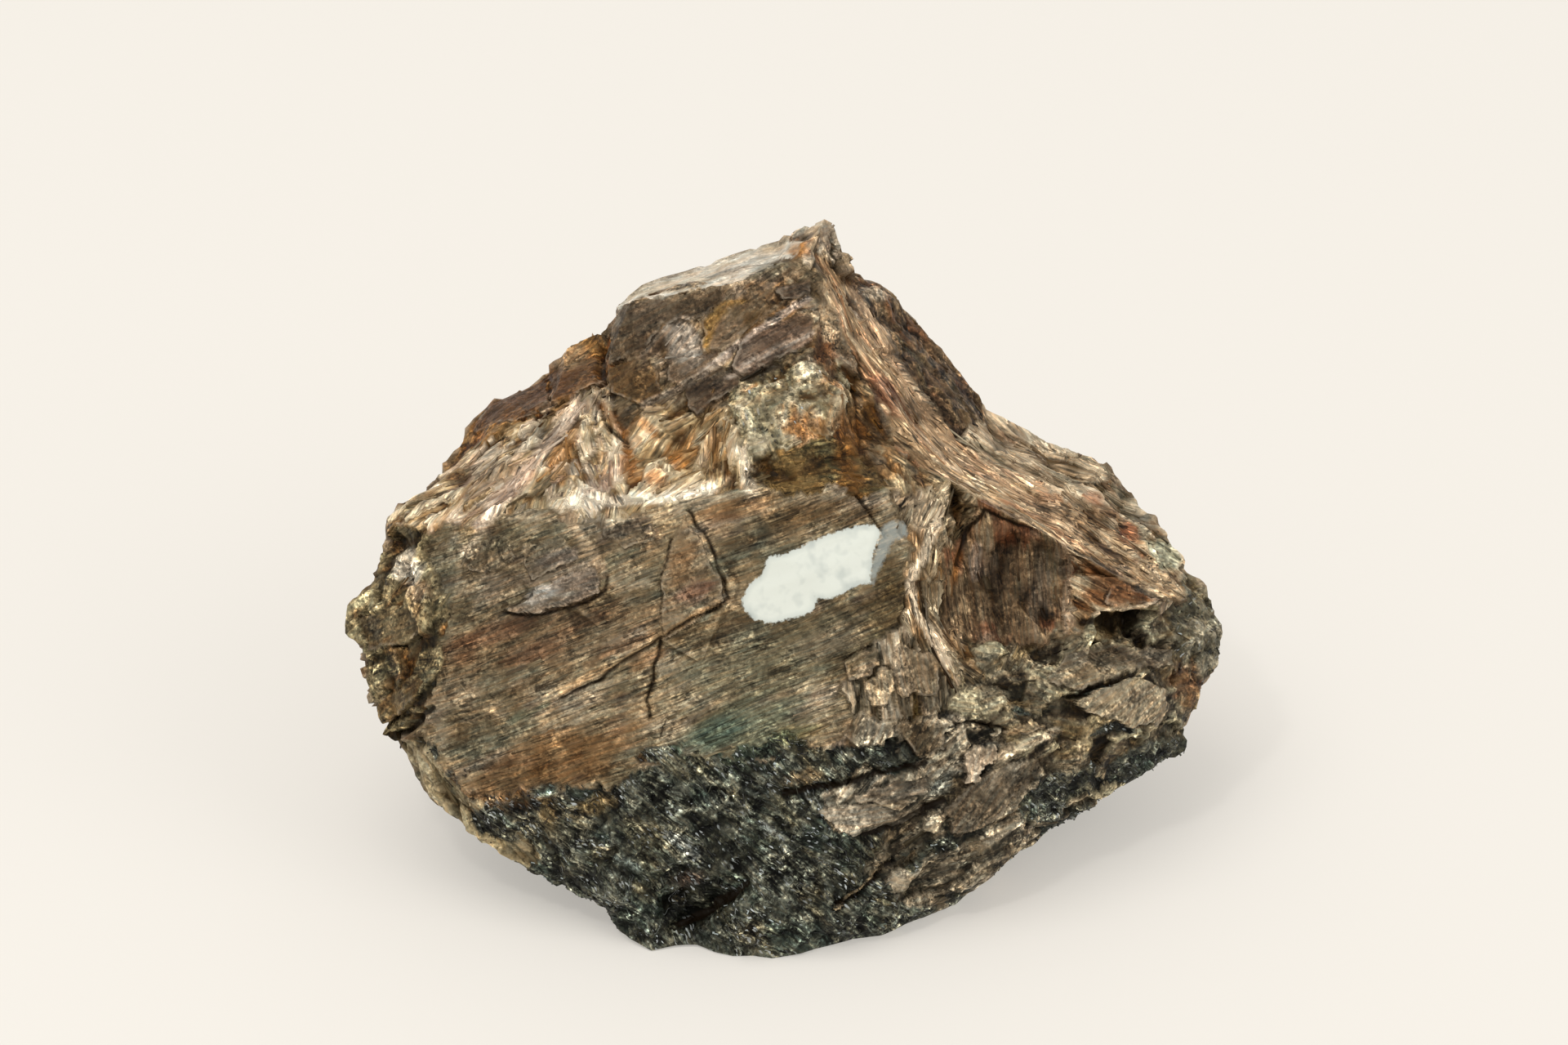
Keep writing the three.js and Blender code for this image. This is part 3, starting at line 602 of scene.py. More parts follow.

# Stains, among them a patch of painted shadow and patches of painted highlight, as centre, half size along
# and across, angle in degrees, colour, strength
STAINS = [
    (-35, 35, 6, 3.4, 20, "3f3424", 0.4),
    (-25, 35, 5.5, 3, 20, "8d7d64", 0.4),
    (-5, 33, 10, 6, 10, "7d7966", 0.35),
    # Painted shadow under the pale blade of the lower right
    (11, 13, 6, 3.4, 30, "1d1a10", 0.6),
    (-9, 6, 6, 3.4, 10, "0d0e0a", 0.4),
    (-4, 15, 6, 3.4, 20, "15170f", 0.35),
    (-29, 16, 6, 2.6, 15, "5a5647", 0.4),
    (-26.4, 73.4, 2.6, 1.6, 20, "a08a6c", 0.5),
    (51, 41, 3, 3, 0, "7a7360", 0.4),
    (-1.4, 84, 2.4, 1.0, 15, "55564a", 0.6),
    (-29.4, 44.6, 2.0, 1.0, 20, "c6c5c1", 0.8),
    (-28.5, 24, 12, 3.6, 20, "7f5a33", 0.5),
    (-34.5, 39.7, 4.2, 1.4, 20, "6b4a38", 0.55),
    (-29.9, 37.2, 3.6, 1.3, 20, "5f4030", 0.55),
    (-19.5, 38.2, 3.4, 1.4, 22, "7b7062", 0.5),
    (-10.8, 44.6, 2.6, 1.6, 25, "6e5045", 0.55),
    (-23.8, 52.4, 3.4, 1.3, 10, "48423b", 0.55),
    (-34.5, 51, 3.4, 1.6, 20, "54503f", 0.5),
    (-5.3, 54.8, 6.5, 1.6, 8, "74502a", 0.5),
    (1.8, 27.8, 3.4, 1.2, 12, "66603a", 0.5),
    (-21, 29.4, 4.4, 1.6, 20, "83765f", 0.5),
    (-1.4, 31.6, 4.4, 1.2, 18, "6b4f3b", 0.5),
    (-27.4, 48.8, 3.0, 1.0, 15, "7a716a", 0.5),
    (5, 38.6, 4.4, 1.6, 22, "6f685c", 0.5),
    (-39.4, 43, 1.6, 1.6, 0, "4c4733", 0.55),
    (-4, 29, 9, 4, 15, "4a5648", 0.6),
    (-8, 27.5, 5, 2, 20, "39514a", 0.5),
    (-29, 20.6, 2, 0.8, 10, "3d4c48", 0.7),
    # These two are painted highlight on the front face's top edge, which catches the light
    (-23.5, 56.4, 1.6, 2.6, 0, "e4dccd", 0.8),
    (-12, 57.2, 5, 1.2, 10, "d6cab4", 0.6),
    (-15.5, 58.4, 2.4, 1.4, 0, "8c5a28", 0.7),
    (-18.8, 60.4, 1.2, 2.0, 0, "8c5a28", 0.6),
    (-27, 62, 3.0, 1.2, 60, "a8743c", 0.55),
    (-13, 61, 2.2, 1.0, -50, "a06a30", 0.6),
    (-22, 58.5, 2.6, 1.0, 40, "c8a58e", 0.5),
    (-33, 57.5, 3.4, 1.2, 30, "caa892", 0.5),
    (-8.5, 62.5, 2.4, 1.2, 80, "9a6a34", 0.5),
    (-16.5, 64.5, 2.0, 0.8, -45, "8c5a28", 0.6),
    (-12.5, 48.5, 1.8, 3.4, -15, "7d5f41", 0.5),
    (-16.5, 36.6, 3.0, 0.9, 28, "8a6848", 0.5),
    (-45.8, 47.6, 2.0, 2.1, 0, "d2cabb", 0.8),
    (-44, 44.6, 1.4, 1.2, 0, "a08e78", 0.5),
    (-34.5, 59.5, 2.4, 1.2, 20, "60492b", 0.6),
    (-38.7, 52.5, 1.8, 1.0, 10, "4f3e25", 0.7),
    (-12.3, 75.3, 2.2, 2.8, 20, "aaa094", 0.8),
    (1.4, 86.6, 1.2, 0.8, 0, "9a6a2c", 0.7),
    (5.4, 73.4, 1.4, 2.2, 0, "7a4a24", 0.55),
    (2.6, 65, 3.4, 2, 0, "8a5a26", 0.6),
    (-2.6, 66.5, 2.6, 3.4, 0, "85826c", 0.5),
    (8, 64, 2, 3, 20, "744b22", 0.5),
    (12.4, 69.2, 3.2, 1.2, -62, "5f3322", 0.7),
    (11.4, 81.4, 1.5, 1.0, -30, "a89c8a", 0.8),
    (42.6, 52, 1.3, 1.3, 0, "85482a", 0.6),
    (37.8, 56, 1.6, 0.6, -20, "85482a", 0.5),
    (46.6, 49.2, 2.2, 1.4, -40, "adb29c", 0.7),
    (17, 54, 2.4, 2.2, 0, "bfb19a", 0.6),
    (49.2, 33.6, 2.0, 2.8, 0, "4c2d15", 0.75),
    (19.0, 21.2, 1.3, 1.9, -20, "8c8f86", 0.7),
    (-35, 46, 9, 5, 15, "524738", 0.45),
    (-39, 38, 2.2, 1.8, 0, "553824", 0.6),
    (-24, 40, 10, 3.4, 20, "5f4c3a", 0.4),
    (4.4, 54.6, 8.5, 2.2, 8, "3f2d15", 0.8),
    (-36, 31, 9, 4, 20, "4f402c", 0.45),
    (12.6, 43.4, 2.4, 4.6, -5, "4a3c22", 0.6),
    (0, 36, 12, 4, 20, "5c5a48", 0.4),
    (-11.7, 9.6, 2.2, 1.0, 20, "453a33", 0.7),
    (-28.6, 17.4, 1.0, 2.2, 10, "5a4c33", 0.7),
    (-23.4, 18.6, 2.4, 1.2, 20, "5f5137", 0.7),
    (2.6, 22.2, 2.2, 0.9, 10, "6e6049", 0.7),
]

# Streaks, among them painted highlights along edges, as line, half width, colour, strength
STREAKS = [
    ([(-26.4, 54.4), (-24.6, 51.2), (-22.6, 48.4), (-21.7, 46.8)], 0.7, "a8957c", 0.6),
    ([(-38.8, 49.6), (-37, 52), (-35.4, 54)], 0.7, "b0a08a", 0.6),
    ([(-9.6, 74.5), (-9.4, 77.4), (-7.6, 79.6), (-5, 80.2)], 0.4, "8f7040", 0.7),
    ([(-10.1, 71.1), (-6.4, 74.2), (-2.6, 76.8), (3, 80.5)], 0.4, "b5a79c", 0.65),
    ([(-25.2, 67.9), (-31, 60.4), (-37.1, 52.8)], 0.9, "c9b6a6", 0.7),
    # Painted highlight on the front face's top edge, which catches the light
    ([(-26, 55.6), (-20, 56), (-14, 56.3), (-8.7, 57.3)], 0.7, "e2d9c8", 0.8),
    ([(-5.2, 61.8), (-4.6, 59.4), (-4, 57.2)], 0.8, "dccfba", 0.85),
    ([(-33.4, 37), (-28, 39), (-22.6, 41.8)], 0.9, "3f2d20", 0.6),
    ([(-33, 28.9), (-28.6, 31.1)], 0.4, "3f5041", 0.4),
    ([(-27, 32.6), (-18.7, 36.8), (-8, 43.4)], 0.5, "9c8160", 0.55),
    ([(-24, 35.6), (-16, 39.6)], 0.5, "7f5c3c", 0.4),
    ([(4.6, 43.4), (6.6, 42.2), (8.6, 41)], 0.6, "3c382c", 0.75),
    # Painted highlight along the crest's ridge
    ([(19.2, 54.1), (17.1, 49), (15.6, 46.6), (15.9, 43), (18, 39.4), (19.8, 36.1)], 0.6, "cdbea8", 0.75),
    ([(34.2, 51.1), (35.1, 48.4), (34.2, 43.6), (34.5, 40)], 0.35, "a8927a", 0.8),
    ([(38.4, 41.9), (42, 42.3), (45.9, 43.2)], 0.3, "c9b8a0", 0.85),
    ([(23.6, 50), (23.4, 46.6)], 0.7, "978779", 0.6),
    ([(21.6, 49.4), (20.6, 46)], 0.6, "7c5023", 0.6),
    ([(25.2, 24.3), (33.5, 27.8)], 0.5, "a89b87", 0.7),
    ([(8.6, 81.6), (14, 71.6), (20, 63.4), (28, 57.4), (36, 51.6)], 0.7, "c2a586", 0.45),
    ([(-22.4, 67.6), (-19.4, 63.8), (-18.6, 59.6)], 0.6, "7c4d1e", 0.6),
    ([(5, 79.4), (5.8, 77.6), (5.9, 75.8)], 0.7, "b8a284", 0.7),
    ([(4.4, 75.4), (5, 74), (5.8, 72.6)], 0.6, "33200e", 0.7),
    ([(-9.4, 74.2), (-9, 76.6), (-7.4, 78.8)], 0.5, "8a6a34", 0.6),
    ([(-6.6, 70.8), (-2, 73.6), (3.4, 76)], 0.4, "b3a496", 0.5),
    ([(-17, 67.4), (-12.6, 69.6), (-7.6, 72.6)], 0.4, "b0a08e", 0.6),
    ([(-13.3, 14.9), (-11, 12.8)], 0.8, "9aa09c", 0.5),
    ([(-20.2, 12.2), (-18, 11)], 0.6, "75807c", 0.5),
    ([(-2.6, 16.6), (0, 14.8)], 0.5, "7f8480", 0.5),
]

# White paint on the front face, and the thin grey smear beside it
PAINT = [(-5.1, 43.7), (-4.2, 45.5), (-2.7, 46.7), (-2, 48.9), (0.2, 49.3), (2.5, 50.3), (4.9, 51.5),
         (7.2, 52.1), (9.3, 52.8), (11.3, 52.8), (11.9, 51.7), (10.9, 49.3), (10.5, 45.8), (7.8, 44.9),
         (6.3, 44), (5.2, 43.7), (3.7, 44), (4, 43.2), (3.1, 42), (0.8, 41.4), (-1.6, 40.8), (-3.9, 41.4),
         (-4.8, 42.6)]
SMEAR = [(12.2, 52.9), (13.4, 53.4), (15, 53), (15.2, 51.4), (13.4, 50.8), (12, 48), (10.6, 45), (10.4, 47),
         (11.4, 50.4)]


# The stone's fine mesh

def cad_triangles():
    """Corners, smooth normals and triangles of the stone's solid, in millimetres."""
    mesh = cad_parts["stone"].data
    corners = np.zeros(len(mesh.vertices) * 3)
    mesh.vertices.foreach_get("co", corners)
    mesh.calc_loop_triangles()
    triangles = np.zeros(len(mesh.loop_triangles) * 3, int)
    mesh.loop_triangles.foreach_get("vertices", triangles)
    rounded = np.round(corners.reshape(-1, 3) / MM, 3)
    points, joined = np.unique(rounded, axis=0, return_inverse=True)
    triangles = joined.reshape(-1)[triangles].reshape(-1, 3)
    return points, vertex_normals(points, triangles), triangles


def unit(vectors):
    return vectors / (np.linalg.norm(vectors, axis=1, keepdims=True) + 1e-9)


def vertex_normals(points, triangles):
    a, b, c = (points[triangles[:, k]] for k in range(3))
    facing = np.cross(b - a, c - a)
    normals = np.zeros_like(points)
    for k in range(3):
        np.add.at(normals, triangles[:, k], facing)
    return unit(normals)


def refine(rows, triangles, longest):
    """Splits every edge that is longer than longest(rows at its middle). Rows hold place and normal."""
    while True:
        ends = np.sort(triangles[:, [[0, 1], [1, 2], [2, 0]]].reshape(-1, 2), axis=1)
        keys, where = np.unique(ends[:, 0] * len(rows) + ends[:, 1], return_inverse=True)
        first, second = keys // len(rows), keys % len(rows)
        middles = (rows[first] + rows[second]) / 2
        length = np.linalg.norm(rows[first, :3] - rows[second, :3], axis=1)
        split = length > longest(middles)
        if not split.any():
            return rows, triangles
        number = np.full(len(keys), -1)
        number[split] = len(rows) + np.arange(split.sum())
        rows = np.concatenate([rows, middles[split]])
        triangles = split_triangles(triangles, number[where].reshape(-1, 3))


def split_triangles(triangles, middles):
    """Cuts triangles at the middles of their split edges; middles[i, k] lies after corner k, or is -1."""
    cuts = (middles >= 0).sum(1)
    turn = np.zeros(len(triangles), int)
    turn[cuts == 1] = (middles[cuts == 1] >= 0).argmax(1)
    turn[cuts == 2] = ((middles[cuts == 2] < 0).argmax(1) + 1) % 3
    order = (turn[:, None] + np.arange(3)) % 3
    a, b, c = np.take_along_axis(triangles, order, 1).T
    ab, bc, ca = np.take_along_axis(middles, order, 1).T
    patterns = {
        0: [(a, b, c)],
        1: [(a, ab, c), (ab, b, c)],
        2: [(ab, b, bc), (a, ab, bc), (a, bc, c)],
        3: [(a, ab, ca), (ab, b, bc), (ca, bc, c), (ab, bc, ca)],
    }
    return np.concatenate([
        np.stack(corners, 1)[cuts == count]
        for count, pieces in patterns.items() for corners in pieces
    ])


def neighbour_mean(values, ends):
    """Mean of each vertex's neighbours; ends holds both ends of every edge, both ways round."""
    count = np.bincount(ends[0])
    columns = [np.bincount(ends[0], weights=column[ends[1]]) / count for column in np.atleast_2d(values.T)]
    return np.squeeze(np.stack(columns, 1))


def both_ways(triangles):
    ends = np.unique(np.sort(triangles[:, [[0, 1], [1, 2], [2, 0]]].reshape(-1, 2), axis=1), axis=0)
    return np.concatenate([ends, ends[:, ::-1]]).T


def in_sight(points):
    """Places as the viewer sees them: right, up and near."""
    survey = points + SIGHT_ORIGIN
    return np.stack([survey[:, 0], survey @ ACROSS_SIGHT, survey @ TO_VIEWER], 1)


def ragged_places(points, flat, amount, size, seed):
    """Places moved about a little, for broken edges."""
    return flat + amount * np.stack([noise(points, size, seed), noise(points, size, seed + 1)], 1)


def place_grounds(points, normals, sight):
    """Index of the ground at each point: the drawn outlines in front, the dark base below, the far side."""
    ragged = ragged_places(points, sight[:, :2], amount=1.2, size=3.0, seed=11)
    ragged = ragged_places(points, ragged, amount=0.4, size=0.9, seed=18)
    patchy = cloudy(points, size=5, seed=15)
    base = GROUND_NAMES.index("base")
    low = points[:, 2] + 16 * cloudy(points, size=24, seed=13) + 4 * patchy < FOOT_HEIGHT
    ground = np.where(low | (patchy > 0.6), base, GROUND_NAMES.index("far"))
    in_front = (normals @ TO_VIEWER > FACING_FROM) & (sight[:, 2] > NEAR_FROM)
    ground[in_front & (sight[:, 1] < BASE_UP) & (np.abs(sight[:, 0]) < BASE_ASIDE)] = base
    for index, kind in enumerate(GROUNDS.values()):
        if kind.outline:
            ground[in_front & inside_outline(ragged, kind.outline)] = index
    for ellipse in MATRIX:
        ground[in_front & (ellipse_distance(ragged, *ellipse) + 0.9 * patchy < 1)] = base
    above = sight[:, 1] - np.interp(sight[:, 0], *np.transpose(BASE_TOP))
    creeping = (np.abs(above) < 6) & (cloudy(points, size=2.4, seed=17) > 0.12 + 0.2 * above)
    ground[in_front & creeping & (ground == GROUND_NAMES.index("front"))] = base
    return ground


def plate_places(points, sight):
    """Places moved about a little, for the broken edges of plates."""
    return ragged_places(points, sight[:, :2], amount=0.45, size=1.3, seed=71)


def place_plates(points, sight, front):
    """Index of the plate at each point, or -1."""
    ragged = plate_places(points, sight)
    index = np.full(len(points), -1)
    for number, plate in enumerate(PLATES):
        index[front & inside_outline(ragged, plate.outline)] = number
    return index


def plate_rims(points, sight, front):
    """Distance from the nearest plate's edge, positive on the plate, and how strongly its painted shadow line
    and pale edge line show, most at the plate's foot.
    """
    ragged = plate_places(points, sight)
    edge = np.full(len(points), -REACH)
    strength = np.zeros(len(points))
    for plate in PLATES:
        depth = depth_inside(ragged, plate.outline)
        nearer = depth > edge
        edge = np.where(nearer, depth, edge)
        strength = np.where(nearer, smooth_step(0.1, 0.6, lower_share(sight[:, 1], plate)), strength)
    return np.where(front, edge, -REACH), np.where(front, strength, 0.0)


@dataclass
class Fibres:
    """How the fibres lie at each point of the stone."""
    lie: np.ndarray  # their direction
    places: np.ndarray  # place along them, across them and into the stone
    facet: np.ndarray  # height of the bundle's facet
    number: np.ndarray  # a random number for each bundle


def whole_numbers(number):
    """Whole numbers for random numbers from 0 to 1, to draw more random numbers for."""
    return np.round(number * 2**24)


def random_axes(number):
    """Three axes at right angles for each random number."""
    whole = whole_numbers(number)
    first, second = (
        unit(np.stack([scatter(whole, seed=seed + k) - 0.5 for k in range(3)], 1)) for seed in (221, 231)
    )
    second = unit(np.cross(first, second))
    return first, second, np.cross(first, second)


def lay_fibres(points, sight, ground, plate):
    """How the fibres of the grounds and plates lie at each point."""
    right, up, near = sight.T
    lie, places, facet, number = np.zeros_like(points), np.zeros_like(points), near * 0, near * 0
    drift = 0.05 * near + 0.5 * noise(points, size=13, seed=21) + 0.06 * noise(points, size=3, seed=22)
    for index, kind in enumerate(GROUNDS.values()):
        own = ground == index
        length, width, swing = kind.bundle
        if kind.tumbled:
            facet[own], number[own], _ = grain_facets(points[own], length, seed=26)
            axes = random_axes(number[own])
            lie[own] = axes[0]
            places[own] = np.stack([(points[own] * axis).sum(1) for axis in axes], 1)
            continue
        along, across = kind.lie.places(right[own], up[own])
        cells = np.array([length, width, width])
        bundled = np.stack([along, across, near[own]], 1)
        facet[own], number[own], middle = grain_facets(bundled, cells, seed=26)
        angle = kind.lie.direction(along, across)
        if swing > STRAIGHT_FROM:
            angle = kind.lie.direction(*middle.T[:2])
            angle = angle + swing * (2 * scatter(whole_numbers(number[own]), seed=27) - 1)
            along, across = turned(right[own], up[own], angle)
        lie[own] = np.cos(angle)[:, None] * TO_RIGHT + np.sin(angle)[:, None] * ACROSS_SIGHT
        places[own] = np.stack([along, across + drift[own], SHEET * near[own]], 1)
    for index, kind in enumerate(PLATES):
        own = plate == index
        angle = math.radians(kind.degrees)
        along, across = turned(right[own], up[own], angle)
        lie[own] = math.cos(angle) * TO_RIGHT + math.sin(angle) * ACROSS_SIGHT
        places[own] = np.stack([along, across + drift[own], SHEET * near[own]], 1)
        facet[own] = 0
    return Fibres(lie, places, facet, number)


def lower_share(up, plate):
    """0 at the top of a plate, 1 at its foot."""
    heights = [corner[1] for corner in plate.outline]
    return (max(heights) - up) / (max(heights) - min(heights))


def flattening(points, normals, number):
    """How far each point has to move along its normal to reach the mean plane of its bundle."""
    bundle = np.unique(number, return_inverse=True)[1]
    count = np.bincount(bundle)

    def mean(vectors):
        return np.stack([np.bincount(bundle, weights=column) / count for column in vectors.T], 1)[bundle]

    facing = unit(mean(normals))
    gap = ((mean(points) - points) * facing).sum(1)
    slope = np.maximum((normals * facing).sum(1), 0.5)
    return np.clip(gap / slope, -FLATTENED, FLATTENED)


def relief_height(points, normals, up, ground, plate, fibres):
    """How far the fracture stands out from the solid, and the tone of the blade or grain at each point."""
    height = np.zeros(len(points))
    tone = np.zeros(len(points))
    along, across = fibres.places.T[:2]
    for index, kind in enumerate(GROUNDS.values()):
        own = ground == index
        width, length, rise = kind.blade
        coarse = splinters(along[own], across[own], width, length, seed=31)
        fine = splinters(along[own], across[own], width / 2.4, length / 2.2, seed=41)
        facets, grain, _ = grain_facets(points[own], 1.5, seed=51)
        lumps = cloudy(points[own], size=4.5, seed=61)
        height[own] = (
            rise * (coarse - 0.5) + 0.45 * rise * (fine - 0.5) + kind.steps * fibres.facet[own]
            + kind.lumps * lumps + 0.7 * kind.grain * facets
        )
        if kind.tumbled:
            height[own] += flattening(points[own], normals[own], fibres.number[own])
        if kind.grain > GRANULAR_FROM:
            tone[own] = 0.25 + 0.5 * grain
        else:
            tone[own] = 0.4 * coarse + 0.25 * fine + 0.35 * fibres.number[own]
    for index, kind in enumerate(PLATES):
        own = plate == index
        lower = lower_share(up[own], kind)
        grooves = splinters(along[own], across[own], width=0.7, length=7, seed=45)
        height[own] = 0.2 * height[own] + kind.rise * (0.15 + 0.75 * lower) + 0.16 * (grooves - 0.5)
        tone[own] = 0.25 + 0.5 * grooves
    return height, tone


def crack_distance(points, sight, front):
    """Distance from the edge of the nearest open crack, and the crack's depth, at each point."""
    ragged = ragged_places(points, sight[:, :2], amount=0.22, size=1.5, seed=81)
    edge = np.full(len(points), REACH)
    depth = np.zeros(len(points))
    for line, width, deep in CRACKS:
        distance = line_distance(ragged, line)
        depth = np.maximum(depth, deep * np.exp(-((distance / (1.3 * width)) ** 2)))
        edge = np.minimum(edge, distance - width / 2)
    return np.where(front, edge, REACH), np.where(front, depth, 0.0)


def linear(code):
    """Linear colour of a six-digit colour code."""
    encoded = np.array([int(code[k:k + 2], 16) for k in (0, 2, 4)]) / 255
    return np.where(encoded <= 0.04045, encoded / 12.92, ((encoded + 0.055) / 1.055) ** 2.4)


def blend(colours, code, shade, share):
    """Colours with a shaded second colour laid over them."""
    share = share[:, None]
    return colours * (1 - share) + linear(code) * shade[:, None] * share


def stone_colours(sight, ground, plate, streaked, tone, pit, front):
    """The colour at each point: its ground's, with painted shade in pits and paler ridges, and plates, stains
    and streaks laid over it.
    """
    streak = cloudy(streaked, size=(9, 0.9, 0.9), seed=91)
    patch = cloudy(streaked, size=(14, 5, 5), seed=101)
    mottle = cloudy(sight, size=3.2, seed=95)
    value = 0.5 + 0.55 * (tone - 0.5) + 0.24 * streak + 0.36 * patch + 0.34 * mottle
    # Painted shade: darker in pits; ridges paler, partly wear and partly painted highlight
    value = value - 1.1 * np.clip(pit, -0.35, 0.5)
    shade = 0.5 + np.clip(value, 0, 1.1)
    colours = np.zeros((len(sight), 3))
    for index, kind in enumerate(GROUNDS.values()):
        own = ground == index
        stops = np.stack([linear(code) for code in kind.colours])
        painted = np.stack([np.interp(value[own], (0.12, 0.5, 0.92), stop) for stop in stops.T], 1)
        for band, code in enumerate(kind.tints):
            seed = 110 + 7 * index + band
            drift = 0.7 * cloudy(streaked[own], size=(6, 1.5, 1.5), seed=seed)
            drift = drift + 0.6 * cloudy(sight[own], size=4.0, seed=seed + 300)
            painted = blend(painted, code, shade[own], 0.55 * smooth_step(0.1, 0.4, drift))
        colours[own] = painted
    for index, kind in enumerate(PLATES):
        own = plate == index
        # Plate edges lighter, partly wear and partly painted highlight
        worn_and_lit_edge = smooth_step(0.5, 0.15, depth_inside(sight[own, :2], kind.outline))
        worn_and_lit_edge = worn_and_lit_edge * smooth_step(-0.3, 0.5, noise(sight[own], size=1.2, seed=97))
        plain = linear(kind.colour) * (shade[own] * (1 + 0.6 * worn_and_lit_edge))[:, None]
        lower = smooth_step(0.0, 0.3, lower_share(sight[own, 1], kind))
        cover = (kind.cover * (0.5 + 0.5 * lower))[:, None]
        colours[own] = (1 - cover) * colours[own] + cover * plain
    flat = sight[:, :2]
    for *ellipse, code, strength in STAINS:
        reach = ellipse_distance(flat, *ellipse) + 0.5 * streak + 0.3 * patch
        colours = blend(colours, code, shade, np.where(front, strength * smooth_step(1.25, 0.55, reach), 0))
    for line, half_width, code, strength in STREAKS:
        reach = line_distance(flat, line, 2 * half_width) / half_width + 0.7 * streak
        colours = blend(colours, code, shade, np.where(front, strength * smooth_step(1.3, 0.5, reach), 0))
    return np.clip(colours, 0.002, 0.95)


# Meshes from arrays

def add_mesh(name, points, triangles, material, **attributes):
    """A mesh object from places in millimetres, with one value, vector or colour for each point."""
    mesh = bpy.data.meshes.new(name)
    mesh.vertices.add(len(points))
    mesh.vertices.foreach_set("co", (points * MM).ravel())
    mesh.loops.add(triangles.size)
    mesh.loops.foreach_set("vertex_index", triangles.ravel())
    mesh.polygons.add(len(triangles))
    mesh.polygons.foreach_set("loop_start", np.arange(0, triangles.size, 3))
    mesh.update()
    mesh.materials.append(material)
    for key, values in attributes.items():
        values = np.asarray(values, np.float32)
        kind, field = ("FLOAT", "value") if values.ndim == 1 else ("FLOAT_VECTOR", "vector")
        mesh.attributes.new(key, kind, "POINT").data.foreach_set(field, values.ravel())
    piece = bpy.data.objects.new(name, mesh)
    bpy.context.collection.objects.link(piece)
    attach(piece, "root")
    return piece


# Shader wiring

class Wire:
    """A shader socket; arithmetic on wires adds Math nodes."""

    def __init__(self, finish, socket):
        self.finish = finish
        self.socket = socket

    def maths(self, operation, *terms, clamp=False):
        settings = {"operation": operation, "use_clamp": clamp}
        return self.finish.node("ShaderNodeMath", settings, dict(enumerate(terms)))

    def __add__(self, other):
        return self.maths("ADD", self, other)

    def __sub__(self, other):
        return self.maths("SUBTRACT", self, other)

    def __rsub__(self, other):
        return self.maths("SUBTRACT", other, self)

    def __mul__(self, other):
        return self.maths("MULTIPLY", self, other)

    __radd__ = __add__
    __rmul__ = __mul__

    def exponential(self):
        return self.maths("EXPONENT", self)

    def clamped(self):
        return self.maths("ADD", self, 0.0, clamp=True)

    def between(self, low, high):
        """0 where this is at low, 1 where it is at high, held at both ends."""
        return ((self - low) * (1 / (high - low))).clamped()


class Finish:
    """A material and the nodes behind its one principled shader."""

    def __init__(self, name):
        self.material = bpy.data.materials.new(name)
        self.material.use_nodes = True
        self.tree = self.material.node_tree
        self.shader = self.tree.nodes["Principled BSDF"]

    def node(self, kind, settings, inputs, output=0):
        made = self.tree.nodes.new(kind)
        for name, value in settings.items():
            setattr(made, name, value)
        for key, value in inputs.items():
            if isinstance(value, Wire):
                self.tree.links.new(value.socket, made.inputs[key])
            else:
                made.inputs[key].default_value = value
        return Wire(self, made.outputs[output])

    def attribute(self, name, output="Fac"):
        return self.node("ShaderNodeAttribute", {"attribute_name": name}, {}, output)

    def stretched(self, vector, scale):
        return self.node("ShaderNodeVectorMath", {"operation": "MULTIPLY"}, {0: vector, 1: scale})

    def noise(self, vector, scale, detail=3.0):
        sockets = {"Vector": vector, "Scale": scale, "Detail": detail, "Roughness": 0.65}
        return self.node("ShaderNodeTexNoise", {}, sockets, "Fac")

    def cells(self, vector, scale):
        """A random number for each cell of a heap of cells."""
        colour = self.node("ShaderNodeTexVoronoi", {}, {"Vector": vector, "Scale": scale}, "Color")
        return self.node("ShaderNodeSeparateColor", {}, {0: colour})

    def mixed(self, share, first, second, blend="MIX"):
        settings = {"data_type": "RGBA", "blend_type": blend}
        return self.node("ShaderNodeMix", settings, {0: share, 6: first, 7: second}, 2)

    def grey(self, value):
        return self.node("ShaderNodeCombineColor", {}, {0: value, 1: value, 2: value})

    def bump(self, height, strength, distance):
        sockets = {"Height": height, "Strength": strength, "Distance": distance}
        return self.node("ShaderNodeBump", {}, sockets)

    def set(self, **sockets):
        for name, value in sockets.items():
            socket = self.shader.inputs[name.replace("_", " ")]
            if isinstance(value, Wire):
                self.tree.links.new(value.socket, socket)
            else:
                socket.default_value = value


def opaque(code):
    return (*linear(code), 1.0)


